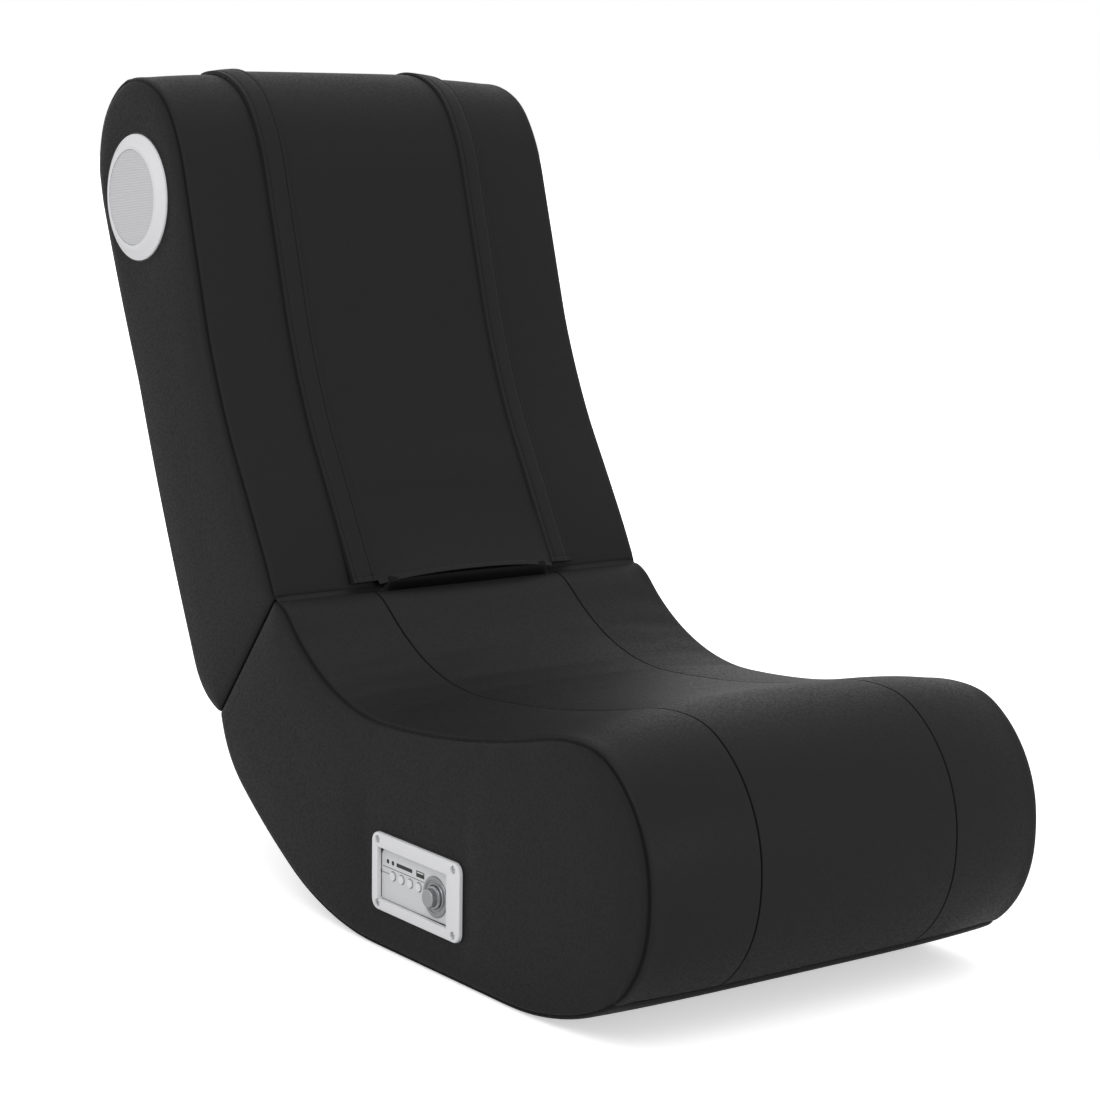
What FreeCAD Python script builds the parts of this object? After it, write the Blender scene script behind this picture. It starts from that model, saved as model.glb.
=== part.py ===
"""Folding floor rocker chair with a built-in amplifier and two head-height speakers.

The chair is two padded wooden shells joined by a pair of butt hinges at the crease.
Millimetres, +Z up, the sitter faces -Y. The origin lies on the floor under the middle
of the chair's bounding box. Every size comes from the spreadsheet called dims, and what
follows from those sizes stands in the one called derived.
"""
import math
import os

import FreeCAD, Part

from FreeCAD import Placement, Rotation, Vector

# Side outline of each shell at the side seam. One row per corner of the outline:
# name, y, z, bulge of the arc to the next corner (outward positive), crown at mid width.
SEAT_OUTLINE = (
    ("lip", 84, 261, -15.3, 7),
    ("well", -62, 201, -6.6, 12),
    ("rise", -294, 233, 4.3, 12),
    ("roll", -372, 237, 20.1, 12),
    ("nose", -439, 129, 12.9, 10),
    ("toe", -395, 38, 9.2, 3),
    ("foot", -255, 0, 0, 0),
    ("stand", -40, 0, 5.4, 0),
    ("sweep", 74, 27, 2.7, 0),
    ("rump", 179, 94, 6.2, 0),
)
BACK_OUTLINE = (
    ("loin", 269, 200, 3.6, 0),
    ("spine", 373, 449, 2.0, 0),
    ("nape", 448, 631, 4.0, 0),
    ("crown", 445, 692, 8.0, 0),
    ("top", 391, 740, 8.9, 6),
    ("brow", 312, 720, 5.1, 7),
    ("cheek", 274, 647, 0.1, 6),
    ("chest", 234, 512, -2.3, 6),
    ("waist", 187, 407, 0.4, 4),
    ("small", 130, 312, 0, 2),
)

# Driving dimensions: alias, value, what it is.
DIMENSIONS = (
    ("half_width", 205.0, "middle plane to the side seams"),
    ("fit_gap", 0.3, "air between pieces that rest on each other"),
    ("seam_x", 103.4, "middle plane to the long seat seams"),
    ("crown_power", 4.0, "how squarely the cushions' crown falls to the side seam"),
    ("cover_thick", 1.2, "covering with its backing"),
    ("seat_foam_thick", 42.0, "seat foam at the side seam, with its cover"),
    ("seat_deck_thick", 5.0, "plywood under the seat foam"),
    ("base_thick", 6.0, "plywood bottom of the seat"),
    ("seat_side_thick", 20.0, "plywood sides of the seat"),
    ("back_foam_thick", 14.0, "back foam at the side seam, with its cover"),
    ("back_deck_thick", 3.0, "fibre board under the back foam"),
    ("rear_panel_thick", 3.0, "fibre board behind the back"),
    ("back_side_thick", 7.0, "plywood sides of the back"),
    ("side_room", 9.0, "side seam to the frames' outer faces"),
    ("pad_shoulder_in", 0.5, "shoulder of a side cover inside the side seam"),
    ("pad_edge_out", 2.0, "turn of a side cover outside the side seam"),
    ("pad_face_out", 3.0, "flat of a side cover outside the side seam"),
    ("pad_edge_inset", 6.0, "side cover drawn in at its turn"),
    ("pad_face_inset", 18.0, "side cover drawn in at its flat"),
    ("pad_joint_gap", 1.2, "air between the side covers of seat and back"),
    ("seat_rail_thick", 15.0, "cross rails of the seat"),
    ("back_rail_thick", 9.0, "cross rails of the back"),
    ("hinge_y", 109.0, "hinge axis, along the chair"),
    ("hinge_z", 284.0, "hinge axis, above the floor"),
    ("joint_angle", 50.5, "slope of the joint face below the horizontal"),
    ("crease_reach", 6.0, "hinge axis to the cushions' edge, along the joint face"),
    ("seat_heel_reach", 169.0, "hinge axis to the seat's heel, along the joint face"),
    ("back_heel_reach", 169.0, "hinge axis to the back's heel, along the joint face"),
    ("joint_slant_ratio", 1.35, "cushion's depth along the joint face over its depth square to the seat"),
    ("seat_rail_end", 147.0, "hinge axis to the seat rail's far edge"),
    ("back_rail_end", 152.0, "hinge axis to the back rail's far edge"),
    ("leaf_thick", 1.5, "hinge leaf"),
    ("leaf_gap", 0.6, "air between the closed leaves"),
    ("leaf_grip", 30.0, "length of a leaf on its rail"),
    ("leaf_width", 52.0, "hinge leaf along the axis"),
    ("hinge_x", 62.0, "middle plane to the middle of a hinge"),
    ("pin_radius", 2.0, "hinge pin"),
    ("knuckle_wall", 2.0, "hinge knuckle round the pin"),
    ("pin_clearance", 0.08, "running clearance round the hinge pin"),
    ("pin_head_lip", 1.2, "hinge pin head beyond the pin"),
    ("pin_head_thick", 1.2, "hinge pin head"),
    ("middle_knuckle", 24.0, "length of the back leaf's knuckle"),
    ("knuckle_gap", 0.4, "air between knuckles along the axis"),
    ("leaf_screw_margin", 8.0, "rail's edge to the first leaf screw"),
    ("leaf_screw_pitch", 14.0, "leaf screws along a leaf"),
    ("leaf_screw_radius", 1.6, "leaf screw shank"),
    ("leaf_screw_lip", 1.3, "leaf screw countersunk head beyond the shank"),
    ("leaf_screw_length", 12.0, "leaf screw, head included"),
    ("screw_clearance", 0.12, "air round a screw"),
    ("front_rail_back", 82.0, "front rail behind the seat outline's rise, at the roll's foam block"),
    ("front_rail_tall", 120.0, "front rail"),
    ("mid_rail_back", 2.0, "middle rail behind the seat outline's well"),
    ("mid_rail_tall", 110.0, "middle rail"),
    ("top_rail_ahead", 46.0, "front edge of the top rail ahead of the back outline's top"),
    ("top_rail_down", 50.0, "underside of the top rail below the back outline's top"),
    ("top_rail_wide", 75.0, "top rail, front to back"),
    ("brace_back", 36.0, "front edge of the back's middle rail behind the outline's chest"),
    ("brace_down", 82.0, "underside of the back's middle rail below the outline's chest"),
    ("brace_wide", 72.0, "back's middle rail, front to back"),
    ("panel_half", 109.0, "middle plane to the edge of the removable panel"),
    ("panel_thick", 1.4, "removable panel"),
    ("flap_inward", 10.6, "flap inside the removable panel's edge"),
    ("flap_outward", 15.6, "flap outside the removable panel's edge"),
    ("flap_thick", 1.4, "flap over the zip"),
    ("zip_half", 9.0, "half width of the zip tape"),
    ("zip_thick", 1.0, "zip tape"),
    ("speaker_back", 89.4, "speaker axis behind the back outline's cheek"),
    ("speaker_down", 18.7, "speaker axis below the back outline's cheek"),
    ("bezel_rim", 1.7, "thickness of the bezel at its edge"),
    ("bezel_rise", 5.5, "rise of the bezel from its edge to the grille"),
    ("bezel_lip", 1.5, "bezel's crest round the grille"),
    ("bezel_flank", 13.0, "bezel from its crest out to its edge"),
    ("grille_radius", 45.0, "speaker grille"),
    ("grille_thick", 1.2, "speaker grille"),
    ("grille_sink", 0.7, "grille below the bezel's crest"),
    ("grille_ledge", 2.0, "width of the ledge behind the grille"),
    ("bezel_spigot_thick", 2.2, "bezel's spigot in the side cover"),
    ("bezel_spigot_depth", 10.5, "bezel's spigot in the side cover"),
    ("cover_hole_clearance", 0.4, "side cover round the spigot"),
    ("driver_margin", 1.0, "speaker frame's edge inside the grille's edge"),
    ("driver_flange", 1.6, "speaker frame's flange"),
    ("driver_flange_wide", 6.0, "speaker frame's flange round its throat"),
    ("driver_depth", 26.0, "speaker frame, flange to magnet"),
    ("driver_neck", 20.0, "speaker frame's narrow end"),
    ("driver_wall", 1.5, "speaker frame's wall"),
    ("magnet_radius", 22.0, "speaker magnet"),
    ("magnet_thick", 10.0, "speaker magnet"),
    ("cone_thick", 1.0, "speaker cone"),
    ("cone_cap_radius", 12.0, "speaker cone's dust cap"),
    ("cone_depth", 14.0, "speaker cone"),
    ("plate_y", -127.3, "middle of the faceplate, along the chair"),
    ("plate_z", 71.4, "middle of the faceplate, above the floor"),
    ("plate_long", 133.5, "faceplate, along the chair"),
    ("plate_tall", 68.0, "faceplate"),
    ("plate_thick", 3.7, "faceplate"),
    ("plate_corner", 9.0, "corner radius of the faceplate"),
    ("window_along", 5.2, "faceplate's middle to its window's middle, along the chair"),
    ("window_up", -1.6, "faceplate's middle to its window's middle, up"),
    ("window_long", 105.3, "faceplate's window, along the chair"),
    ("window_tall", 46.0, "faceplate's window"),
    ("screw_margin_y", 9.25, "faceplate screw to the faceplate's end"),
    ("screw_margin_z", 6.0, "faceplate screw to the faceplate's edge"),
    ("screw_head_lip", 1.6, "faceplate screw head beyond the shank"),
    ("screw_head_thick", 1.6, "faceplate screw head"),
    ("screw_head_sink", 0.3, "faceplate screw head below the face"),
    ("screw_radius", 1.4, "faceplate screw shank"),
    ("screw_length", 24.0, "faceplate screw shank"),
    ("tray_wall", 1.4, "rim of the control tray round the window"),
    ("tray_depth", 4.7, "control floor behind the faceplate's face"),
    ("tray_floor", 2.0, "control floor"),
    ("case_depth", 62.0, "amplifier case behind the tray"),
    ("case_wall", 2.0, "amplifier case"),
    ("board_back", 7.0, "control floor's back to the circuit board"),
    ("board_thick", 1.6, "circuit board"),
    ("button_row_up", -1.5, "faceplate's middle to the buttons, up"),
    ("button_first_along", 39.6, "faceplate's middle to the first button, along the chair"),
    ("button_pitch", 13.2, "buttons"),
    ("button_radius", 3.6, "button"),
    ("button_proud", 1.2, "button above the control floor"),
    ("button_clearance", 0.2, "air round a button"),
    ("button_flange", 1.0, "button's flange, wider than the button by this"),
    ("button_flange_thick", 1.0, "button's flange"),
    ("button_travel", 0.8, "button"),
    ("switch_size", 6.0, "push switch"),
    ("switch_thick", 2.2, "push switch"),
    ("knob_along", -25.5, "faceplate's middle to the volume knob, along the chair"),
    ("knob_up", -3.6, "faceplate's middle to the volume knob, up"),
    ("dial_wide", 7.2, "width of the ring round the volume knob"),
    ("dial_thick", 1.4, "ring round the volume knob"),
    ("dial_room", 0.6, "air between the ring and the knob's skirt"),
    ("knob_radius", 8.2, "volume knob's cap"),
    ("knob_skirt_wide", 1.6, "volume knob's skirt beyond its cap"),
    ("knob_skirt_thick", 3.0, "volume knob's skirt"),
    ("knob_tall", 7.5, "volume knob above the control floor"),
    ("spindle_radius", 3.0, "volume spindle"),
    ("spindle_clearance", 0.08, "running clearance round the spindle"),
    ("spindle_deep", 11.0, "volume spindle below the control floor"),
    ("control_size", 16.0, "volume control"),
    ("socket_row_up", 9.8, "faceplate's middle to the sockets, up"),
    ("jack_first_along", 48.0, "faceplate's middle to the first jack, along the chair"),
    ("jack_pitch", 7.8, "jacks"),
    ("jack_radius", 2.6, "jack's barrel"),
    ("jack_wall", 0.85, "jack's barrel round its bore"),
    ("jack_depth", 8.0, "jack's barrel"),
    ("card_along", 22.4, "faceplate's middle to the card slot, along the chair"),
    ("card_long", 24.3, "card slot"),
    ("card_tall", 2.2, "card slot"),
    ("card_body", 1.4, "card socket's wall"),
    ("card_depth", 8.0, "card socket"),
    ("usb_along", -2.1, "faceplate's middle to the data socket, along the chair"),
    ("usb_long", 12.3, "data socket's mouth"),
    ("usb_tall", 4.6, "data socket's mouth"),
    ("usb_wall", 0.6, "data socket's shell"),
    ("usb_tongue", 1.9, "data socket's tongue"),
    ("usb_depth", 8.0, "data socket"),
    ("transformer_long", 62.0, "mains transformer, along the chair"),
    ("transformer_tall", 38.0, "mains transformer"),
    ("transformer_deep", 36.0, "mains transformer, across the chair"),
    ("transformer_along", 15.3, "faceplate's middle to the transformer's middle, along the chair"),
)

# Sizes that follow from the driving dimensions: alias, formula, what it is.
DERIVED = (
    ("frame_half", "dims.half_width - dims.side_room", "middle plane to the frames' outer faces"),
    ("pad_shoulder_x",
     "dims.half_width - dims.pad_shoulder_in",
     "middle plane to the shoulder of a side cover"),
    ("pad_edge_x", "dims.half_width + dims.pad_edge_out", "middle plane to the turn of a side cover"),
    ("pad_face_x", "dims.half_width + dims.pad_face_out", "middle plane to the flat of a side cover"),
    ("knuckle_radius", "dims.pin_radius + dims.knuckle_wall", "hinge knuckle, outside"),
    ("pin_head_radius", "dims.pin_radius + dims.pin_head_lip", "hinge pin head"),
    ("leaf_screw_head", "dims.leaf_screw_radius + dims.leaf_screw_lip", "leaf screw countersunk head"),
    ("front_rail_y", "dims.seat_rise_y + dims.front_rail_back", "front face of the front rail"),
    ("mid_rail_y", "dims.seat_well_y + dims.mid_rail_back", "front face of the middle rail"),
    ("top_rail_y", "dims.back_top_y - dims.top_rail_ahead", "front edge of the top rail"),
    ("top_rail_z", "dims.back_top_z - dims.top_rail_down", "underside of the top rail"),
    ("brace_y", "dims.back_chest_y + dims.brace_back", "front edge of the back's middle rail"),
    ("brace_z", "dims.back_chest_z - dims.brace_down", "underside of the back's middle rail"),
    ("speaker_y", "dims.back_cheek_y + dims.speaker_back", "speaker axis, along the chair"),
    ("speaker_z", "dims.back_cheek_z - dims.speaker_down", "speaker axis, above the floor"),
    ("flap_inner_x", "dims.panel_half - dims.flap_inward", "middle plane to a flap's inner edge"),
    ("flap_outer_x", "dims.panel_half + dims.flap_outward", "middle plane to a flap's outer edge"),
    ("bezel_crest_radius", "dims.grille_radius + dims.bezel_lip", "bezel where it turns in to the grille"),
    ("bezel_radius", "dims.grille_radius + dims.bezel_lip + dims.bezel_flank", "speaker bezel, outside"),
    ("driver_radius", "dims.grille_radius - dims.driver_margin", "speaker frame, outside"),
    ("driver_throat",
     "dims.grille_radius - dims.driver_margin - dims.driver_flange_wide",
     "speaker frame's wide end"),
    ("window_y", "dims.plate_y + dims.window_along", "middle of the window, along the chair"),
    ("window_z", "dims.plate_z + dims.window_up", "middle of the window, above the floor"),
    ("screw_span_y", "dims.plate_long - 2 * dims.screw_margin_y", "faceplate screws, along the chair"),
    ("screw_span_z", "dims.plate_tall - 2 * dims.screw_margin_z", "faceplate screws, up"),
    ("screw_head_radius", "dims.screw_radius + dims.screw_head_lip", "faceplate screw head"),
    ("button_row_z", "dims.plate_z + dims.button_row_up", "buttons above the floor"),
    ("button_first_y", "dims.plate_y + dims.button_first_along", "first button, along the chair"),
    ("knob_y", "dims.plate_y + dims.knob_along", "volume knob, along the chair"),
    ("knob_z", "dims.plate_z + dims.knob_up", "volume knob, above the floor"),
    ("knob_skirt_radius", "dims.knob_radius + dims.knob_skirt_wide", "volume knob's skirt"),
    ("dial_bore_radius",
     "dims.knob_radius + dims.knob_skirt_wide + dims.dial_room",
     "bore of the ring round the knob"),
    ("dial_radius",
     "dims.knob_radius + dims.knob_skirt_wide + dims.dial_room + dims.dial_wide",
     "ring round the knob, outside"),
    ("socket_row_z", "dims.plate_z + dims.socket_row_up", "sockets above the floor"),
    ("jack_first_y", "dims.plate_y + dims.jack_first_along", "first jack, along the chair"),
    ("jack_bore_radius", "dims.jack_radius - dims.jack_wall", "jack's bore"),
    ("card_y", "dims.plate_y + dims.card_along", "card slot, along the chair"),
    ("usb_y", "dims.plate_y + dims.usb_along", "data socket, along the chair"),
    ("transformer_y",
     "dims.plate_y + dims.transformer_along",
     "middle of the transformer, along the chair"),
    ("soft_joint_inset",
     "dims.leaf_gap / 2 + dims.leaf_thick + dims.fit_gap",
     "joint face to the rails and the soft pieces"),
    ("rail_start",
     "dims.crease_reach"
     " + dims.joint_slant_ratio * (dims.seat_foam_thick + dims.seat_deck_thick + 2 * dims.fit_gap)",
     "hinge axis to the near edge of the joint rails"),
    ("plate_face",
     "dims.half_width + dims.pad_face_out + dims.fit_gap + dims.plate_thick",
     "middle plane to the faceplate's face"),
)


DERIVED_NAMES = {row[0] for row in DERIVED}

# Share of an arc's radius that an inset may use up before the arc is drawn straight.
TIGHTEST = 0.9


class Sizes:
    """Reads the driving dimensions and what follows from them back from the spreadsheets."""

    def __init__(self, driving, derived):
        self.driving = driving
        self.derived = derived

    def __getattr__(self, alias):
        sheet = self.derived if alias in DERIVED_NAMES else self.driving
        return float(sheet.get(alias))


def fill_sheet(doc, name, rows):
    """Spreadsheet with one row per size: words in column A, value in column B."""
    sheet = doc.addObject("Spreadsheet::Sheet", name)
    for number, (alias, value, words) in enumerate(rows, start=1):
        sheet.set(f"A{number}", words)
        sheet.set(f"B{number}", str(value))
        sheet.setAlias(f"B{number}", alias)
    doc.recompute()
    return sheet


def make_sheets(doc):
    """Spreadsheets of the driving dimensions and of the sizes that follow from them."""
    rows = list(DIMENSIONS)
    for shell, outline in (("seat", SEAT_OUTLINE), ("back", BACK_OUTLINE)):
        for corner, y, z, bulge, crown in outline:
            rows.append((f"{shell}_{corner}_y", y, f"{shell} outline, {corner}, along the chair"))
            rows.append((f"{shell}_{corner}_z", z, f"{shell} outline, {corner}, above the floor"))
            rows.append((f"{shell}_{corner}_bulge", bulge, f"{shell} outline, arc after {corner}"))
            rows.append((f"{shell}_{corner}_crown", crown, f"{shell} cushion, crown at {corner}"))
    rows.append(("seat_crease_bulge", 4.3, "seat outline, arc after the crease"))
    rows.append(("back_heel_bulge", 9.6, "back outline, arc after the heel"))
    driving = fill_sheet(doc, "dims", rows)
    formulas = [(alias, f"={formula}", words) for alias, formula, words in DERIVED]
    return driving, fill_sheet(doc, "derived", formulas)


def flat(y, z, x=0.0):
    """Point of a side outline at distance x from the middle plane."""
    return Vector(x, y, z)


def turned(direction, angle):
    """Direction in the YZ plane turned from +Y towards +Z."""
    return Rotation(Vector(1, 0, 0), math.degrees(angle)).multVec(direction)


def outward(direction):
    """Outward normal of an outline that runs with its solid on the left."""
    return Vector(0, direction.z, -direction.y)


class Outline:
    """Side outline of one shell: arcs from corner to corner, closed by the joint face."""

    def __init__(self, corners, bulges, crowns, joint_normal):
        self.corners = corners
        self.bulges = bulges
        self.crowns = crowns
        self.joint_normal = joint_normal

    def arc_normals(self, index):
        """Outward normals at the start, the middle and the end of one arc."""
        chord = self.corners[index + 1] - self.corners[index]
        swing = -2 * math.atan(2 * self.bulges[index] / chord.Length)
        along = chord.normalize()
        ends = (turned(along, swing), along, turned(along, -swing))
        return [outward(direction) for direction in ends]

    def arc_middle(self, index):
        """Middle point of one arc."""
        start, end = self.corners[index], self.corners[index + 1]
        return (start + end) * 0.5 + self.arc_normals(index)[1] * self.bulges[index]

    def shifted_corner(self, index, shift, joint_inset):
        """Corner moved outward by shift, and off the joint face where it lies on it."""
        if 0 < index < len(self.corners) - 1:
            before = self.arc_normals(index - 1)[2]
            after = self.arc_normals(index)[0]
            normal = (before + after).normalize()
            return self.corners[index] + normal * shift
        normal = self.arc_normals(0)[0] if index == 0 else self.arc_normals(index - 1)[2]
        face = self.joint_normal
        turn = normal.y * face.z - normal.z * face.y
        along_y = (shift * face.z + joint_inset * normal.z) / turn
        along_z = (-joint_inset * normal.y - shift * face.y) / turn
        return self.corners[index] + Vector(0, along_y, along_z)

    def chain(self, first, last, inset, share=0.0, joint_inset=0.0):
        """Arcs from one corner to another, moved in by inset and out by the crown's share."""
        points = []
        for index in range(first, last + 1):
            shift = share * self.crowns[index] - inset
            points.append(self.shifted_corner(index, shift, joint_inset))
            if index < last:
                crown = 0.5 * (self.crowns[index] + self.crowns[index + 1])
                middle = self.arc_middle(index) + self.arc_normals(index)[1] * (share * crown - inset)
                points.append(middle if self.stays_round(index, inset) else None)
        return points

    def stays_round(self, index, inset):
        """False for a straight stretch, and for an arc that the inset would turn inside out."""
        bulge = self.bulges[index]
        if bulge <= 0:
            return bulge < 0
        chord = (self.corners[index + 1] - self.corners[index]).Length
        return inset < TIGHTEST * (chord * chord / 4 + bulge * bulge) / (2 * bulge)


def chain_edges(points, x):
    """Arcs through each corner, middle and next corner at distance x, or lines with no middle."""
    edges = []
    placed = [point and flat(point.y, point.z, x) for point in points]
    for start, middle, end in zip(placed[0::2], placed[1::2], placed[2::2]):
        edges.append(Part.Arc(start, middle, end).toShape() if middle else Part.makeLine(start, end))
    return edges


def closed_wire(chains, x):
    """Chains joined end to start by straight lines."""
    edges = []
    for number, points in enumerate(chains):
        following = chains[(number + 1) % len(chains)][0]
        edges += chain_edges(points, x)
        gap = flat(points[-1].y, points[-1].z, x), flat(following.y, following.z, x)
        if gap[0].distanceToPoint(gap[1]) > 1e-6:
            edges.append(Part.makeLine(*gap))
    return Part.Wire(edges)


def prism(chains, x_low, x_high):
    """Board or sheet of constant side outline."""
    face = Part.Face(closed_wire(chains, x_low))
    return face.extrude(Vector(x_high - x_low, 0, 0))


def band(outline, first, last, outer, inner, joint_inset, x_low, x_high):
    """Sheet between two insets of an outline, from corner to corner."""
    outside = outline.chain(first, last, outer, 0.0, joint_inset)
    inside = outline.chain(first, last, inner, 0.0, joint_inset)
    return prism([outside, inside[::-1]], x_low, x_high)


def crown_share(sizes, x):
    """Share of the full crown at distance x from the middle plane."""
    return 1 - (abs(x) / sizes.half_width) ** sizes.crown_power


def crowned_band(sizes, outline, span, outer, inner, stations, flat_inside=False, joint_inset=None):
    """Crowned sheet or cushion lofted across the chair through the stations."""
    first, last = span
    inset_at_joint = sizes.soft_joint_inset if joint_inset is None else joint_inset
    wires = []
    for x in stations:
        share = crown_share(sizes, x)
        outside = outline.chain(first, last, outer, share, inset_at_joint)
        inside = outline.chain(first, last, inner, 0.0 if flat_inside else share, inset_at_joint)
        wires.append(closed_wire([outside, inside[::-1]], x))
    return Part.makeLoft(wires, True, True)


def spread(low, high, count):
    """Evenly spaced stations from low to high."""
    return [low + (high - low) * i / (count - 1) for i in range(count)]


def joint_point(sizes, reach):
    """Point on the joint face, at a distance from the hinge axis."""
    angle = math.radians(sizes.joint_angle)
    return flat(sizes.hinge_y + reach * math.cos(angle), sizes.hinge_z - reach * math.sin(angle))


def corner_rows(sizes, shell, table):
    """Corners, bulges and crowns of one table, read from the spreadsheet."""
    rows = []
    for row in table:
        name = f"{shell}_{row[0]}"
        point = flat(getattr(sizes, f"{name}_y"), getattr(sizes, f"{name}_z"))
        rows.append((point, getattr(sizes, f"{name}_bulge"), getattr(sizes, f"{name}_crown")))
    return rows


def make_outlines(sizes):
    """Side outlines of the seat and of the back."""
    angle = math.radians(sizes.joint_angle)
    towards_back = Vector(0, math.sin(angle), math.cos(angle))
    crease = joint_point(sizes, sizes.crease_reach)
    seat_rows = [(crease, sizes.seat_crease_bulge, 0.0)]
    seat_rows += corner_rows(sizes, "seat", SEAT_OUTLINE)
    seat_rows.append((joint_point(sizes, sizes.seat_heel_reach), 0.0, 0.0))
    back_rows = [(joint_point(sizes, sizes.back_heel_reach), sizes.back_heel_bulge, 0.0)]
    back_rows += corner_rows(sizes, "back", BACK_OUTLINE)
    back_rows.append((crease, 0.0, 0.0))
    seat = Outline(*(list(column) for column in zip(*seat_rows)), towards_back)
    back = Outline(*(list(column) for column in zip(*back_rows)), -towards_back)
    return seat, back


SEAT_END = len(SEAT_OUTLINE) + 1
BACK_END = len(BACK_OUTLINE) + 1
SEAT_WELL = 1 + [row[0] for row in SEAT_OUTLINE].index("well")
SEAT_TOE = 1 + [row[0] for row in SEAT_OUTLINE].index("toe")
SEAT_FOOT = 1 + [row[0] for row in SEAT_OUTLINE].index("foot")
BACK_TOP = 1 + [row[0] for row in BACK_OUTLINE].index("top")


class Bench:
    """Adds objects to the document and keeps the list of finished sub-parts."""

    def __init__(self, doc):
        self.doc = doc
        self.nodes = []
        self.joint_placement = Placement()

    def bind(self, thing, bindings):
        """Ties properties to spreadsheet expressions."""
        for prop, expression in bindings.items():
            thing.setExpression(prop, expression)

    def box(self, base, size):
        """Box from three expressions for its low corner and three for its size."""
        thing = self.doc.addObject("Part::Box", "Block")
        names = ("Placement.Base.x", "Placement.Base.y", "Placement.Base.z")
        self.bind(thing, dict(zip(names, base)))
        self.bind(thing, dict(zip(("Length", "Width", "Height"), size)))
        return thing

    def outward_turn(self, side):
        """Placement that turns a primitive's axis to point away from the middle plane."""
        return Placement(Vector(), Rotation(Vector(0, 1, 0), 90 * side))

    def rod(self, side, start, y, z, radius, length):
        """Cylinder along X that starts at distance start and points outward."""
        thing = self.doc.addObject("Part::Cylinder", "Rod")
        thing.Placement = self.outward_turn(side)
        self.bind(thing, {"Placement.Base.x": f"{side} * ({start})", "Placement.Base.y": y})
        self.bind(thing, {"Placement.Base.z": z, "Radius": radius, "Height": length})
        return thing

    def cone(self, side, start, y, z, radii, length):
        """Cone along X that starts at distance start and points outward."""
        thing = self.doc.addObject("Part::Cone", "Cone")
        thing.Placement = self.outward_turn(side)
        self.bind(thing, {"Placement.Base.x": f"{side} * ({start})", "Placement.Base.y": y})
        self.bind(thing, {"Placement.Base.z": z, "Radius1": radii[0], "Radius2": radii[1]})
        self.bind(thing, {"Height": length})
        return thing

    def fuse(self, things):
        """Union of several objects."""
        union = self.doc.addObject("Part::MultiFuse", "Union")
        union.Shapes = things
        return union

    def cut(self, base, tools):
        """Base less one or more tools."""
        difference = self.doc.addObject("Part::Cut", "Difference")
        difference.Base = base
        difference.Tool = tools[0] if len(tools) == 1 else self.fuse(tools)
        return difference

    def feature(self, shape, placement=None):
        """Object with a shape worked out from the sheet's sizes."""
        thing = self.doc.addObject("Part::Feature", "Form")
        thing.Shape = shape
        if placement is not None:
            thing.Placement = placement
        return thing

    def group(self, things):
        """Separate solids of one node."""
        bundle = self.doc.addObject("Part::Compound", "Group")
        bundle.Links = things
        return bundle

    def node(self, label, thing):
        """Finished sub-part under its own name."""
        thing.Label = label
        self.nodes.append(thing)
        return thing


SIDES = (("left", -1), ("right", 1))
BUTTONS = 4
JACKS = 2
CUSHION_STATIONS = 13
PANEL_STATIONS = 5
STRIP_STATIONS = 3


def cut_all(bench, thing, tools):
    """Thing less its tools, or the thing itself when there are none."""
    return bench.cut(thing, tools) if tools else thing


def make_seat_frame(bench, sizes, seat):
    """Plywood parts and the foam block of the seat."""
    gap = sizes.fit_gap
    joint = sizes.soft_joint_inset
    foam = sizes.seat_foam_thick
    deck_in = foam + gap + sizes.seat_deck_thick
    base_out = sizes.cover_thick + gap
    base_in = base_out + sizes.base_thick
    half = sizes.frame_half
    deck = band(seat, 0, SEAT_TOE, foam + gap, deck_in, joint, -half, half)
    bench.node("seat_deck", bench.feature(deck))
    base = band(seat, SEAT_FOOT, SEAT_END, base_out, base_in, joint, -half, half)
    bench.node("seat_base_board", bench.feature(base))
    top = seat.chain(0, SEAT_TOE, deck_in + gap, 0.0, joint)
    bottom = seat.chain(SEAT_FOOT, SEAT_END, base_in + gap, 0.0, joint)
    inner = half - sizes.seat_side_thick
    for name, side in SIDES:
        x_low = min(side * half, side * inner)
        board = prism([top, bottom], x_low, x_low + sizes.seat_side_thick)
        holes = control_cutouts(bench, side) + screw_holes(bench, side)
        bench.node(f"seat_side_panel_{name}", cut_all(bench, bench.feature(board), holes))
    reach = "derived.frame_half - dims.seat_side_thick - dims.fit_gap"
    floor = "dims.cover_thick + 2 * dims.fit_gap + dims.base_thick"
    for label, y, tall in (("seat_front_rail", "derived.front_rail_y", "dims.front_rail_tall"),
                           ("seat_middle_rail", "derived.mid_rail_y", "dims.mid_rail_tall")):
        rail = bench.box((f"-({reach})", y, floor), (f"2 * ({reach})", "dims.seat_rail_thick", tall))
        bench.node(label, rail)
    block_half = inner - gap
    filling = seat.chain(SEAT_WELL, SEAT_FOOT, deck_in + gap)
    under_well = flat(filling[0].y, filling[-1].z)
    block = bench.feature(prism([filling + [None, under_well]], -block_half, block_half))
    behind = bench.box(("-dims.half_width", "derived.front_rail_y - dims.fit_gap", "0"),
                       ("2 * dims.half_width", "dims.half_width", "2 * dims.half_width"))
    bench.node("seat_roll_foam", bench.cut(block, [behind]))


def joint_rail(bench, label, side, end, reach, thick):
    """Cross rail behind the joint face, drilled for the hinge screws."""
    inset = "derived.soft_joint_inset"
    low = f"-{inset} - {thick}" if side < 0 else inset
    board = bench.box((f"-({reach})", "derived.rail_start", low),
                      (f"2 * ({reach})", f"{end} - derived.rail_start", thick))
    rail = bench.cut(board, leaf_screws(bench, side, "dims.screw_clearance"))
    rail.Placement = bench.joint_placement
    return bench.node(label, rail)


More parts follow.
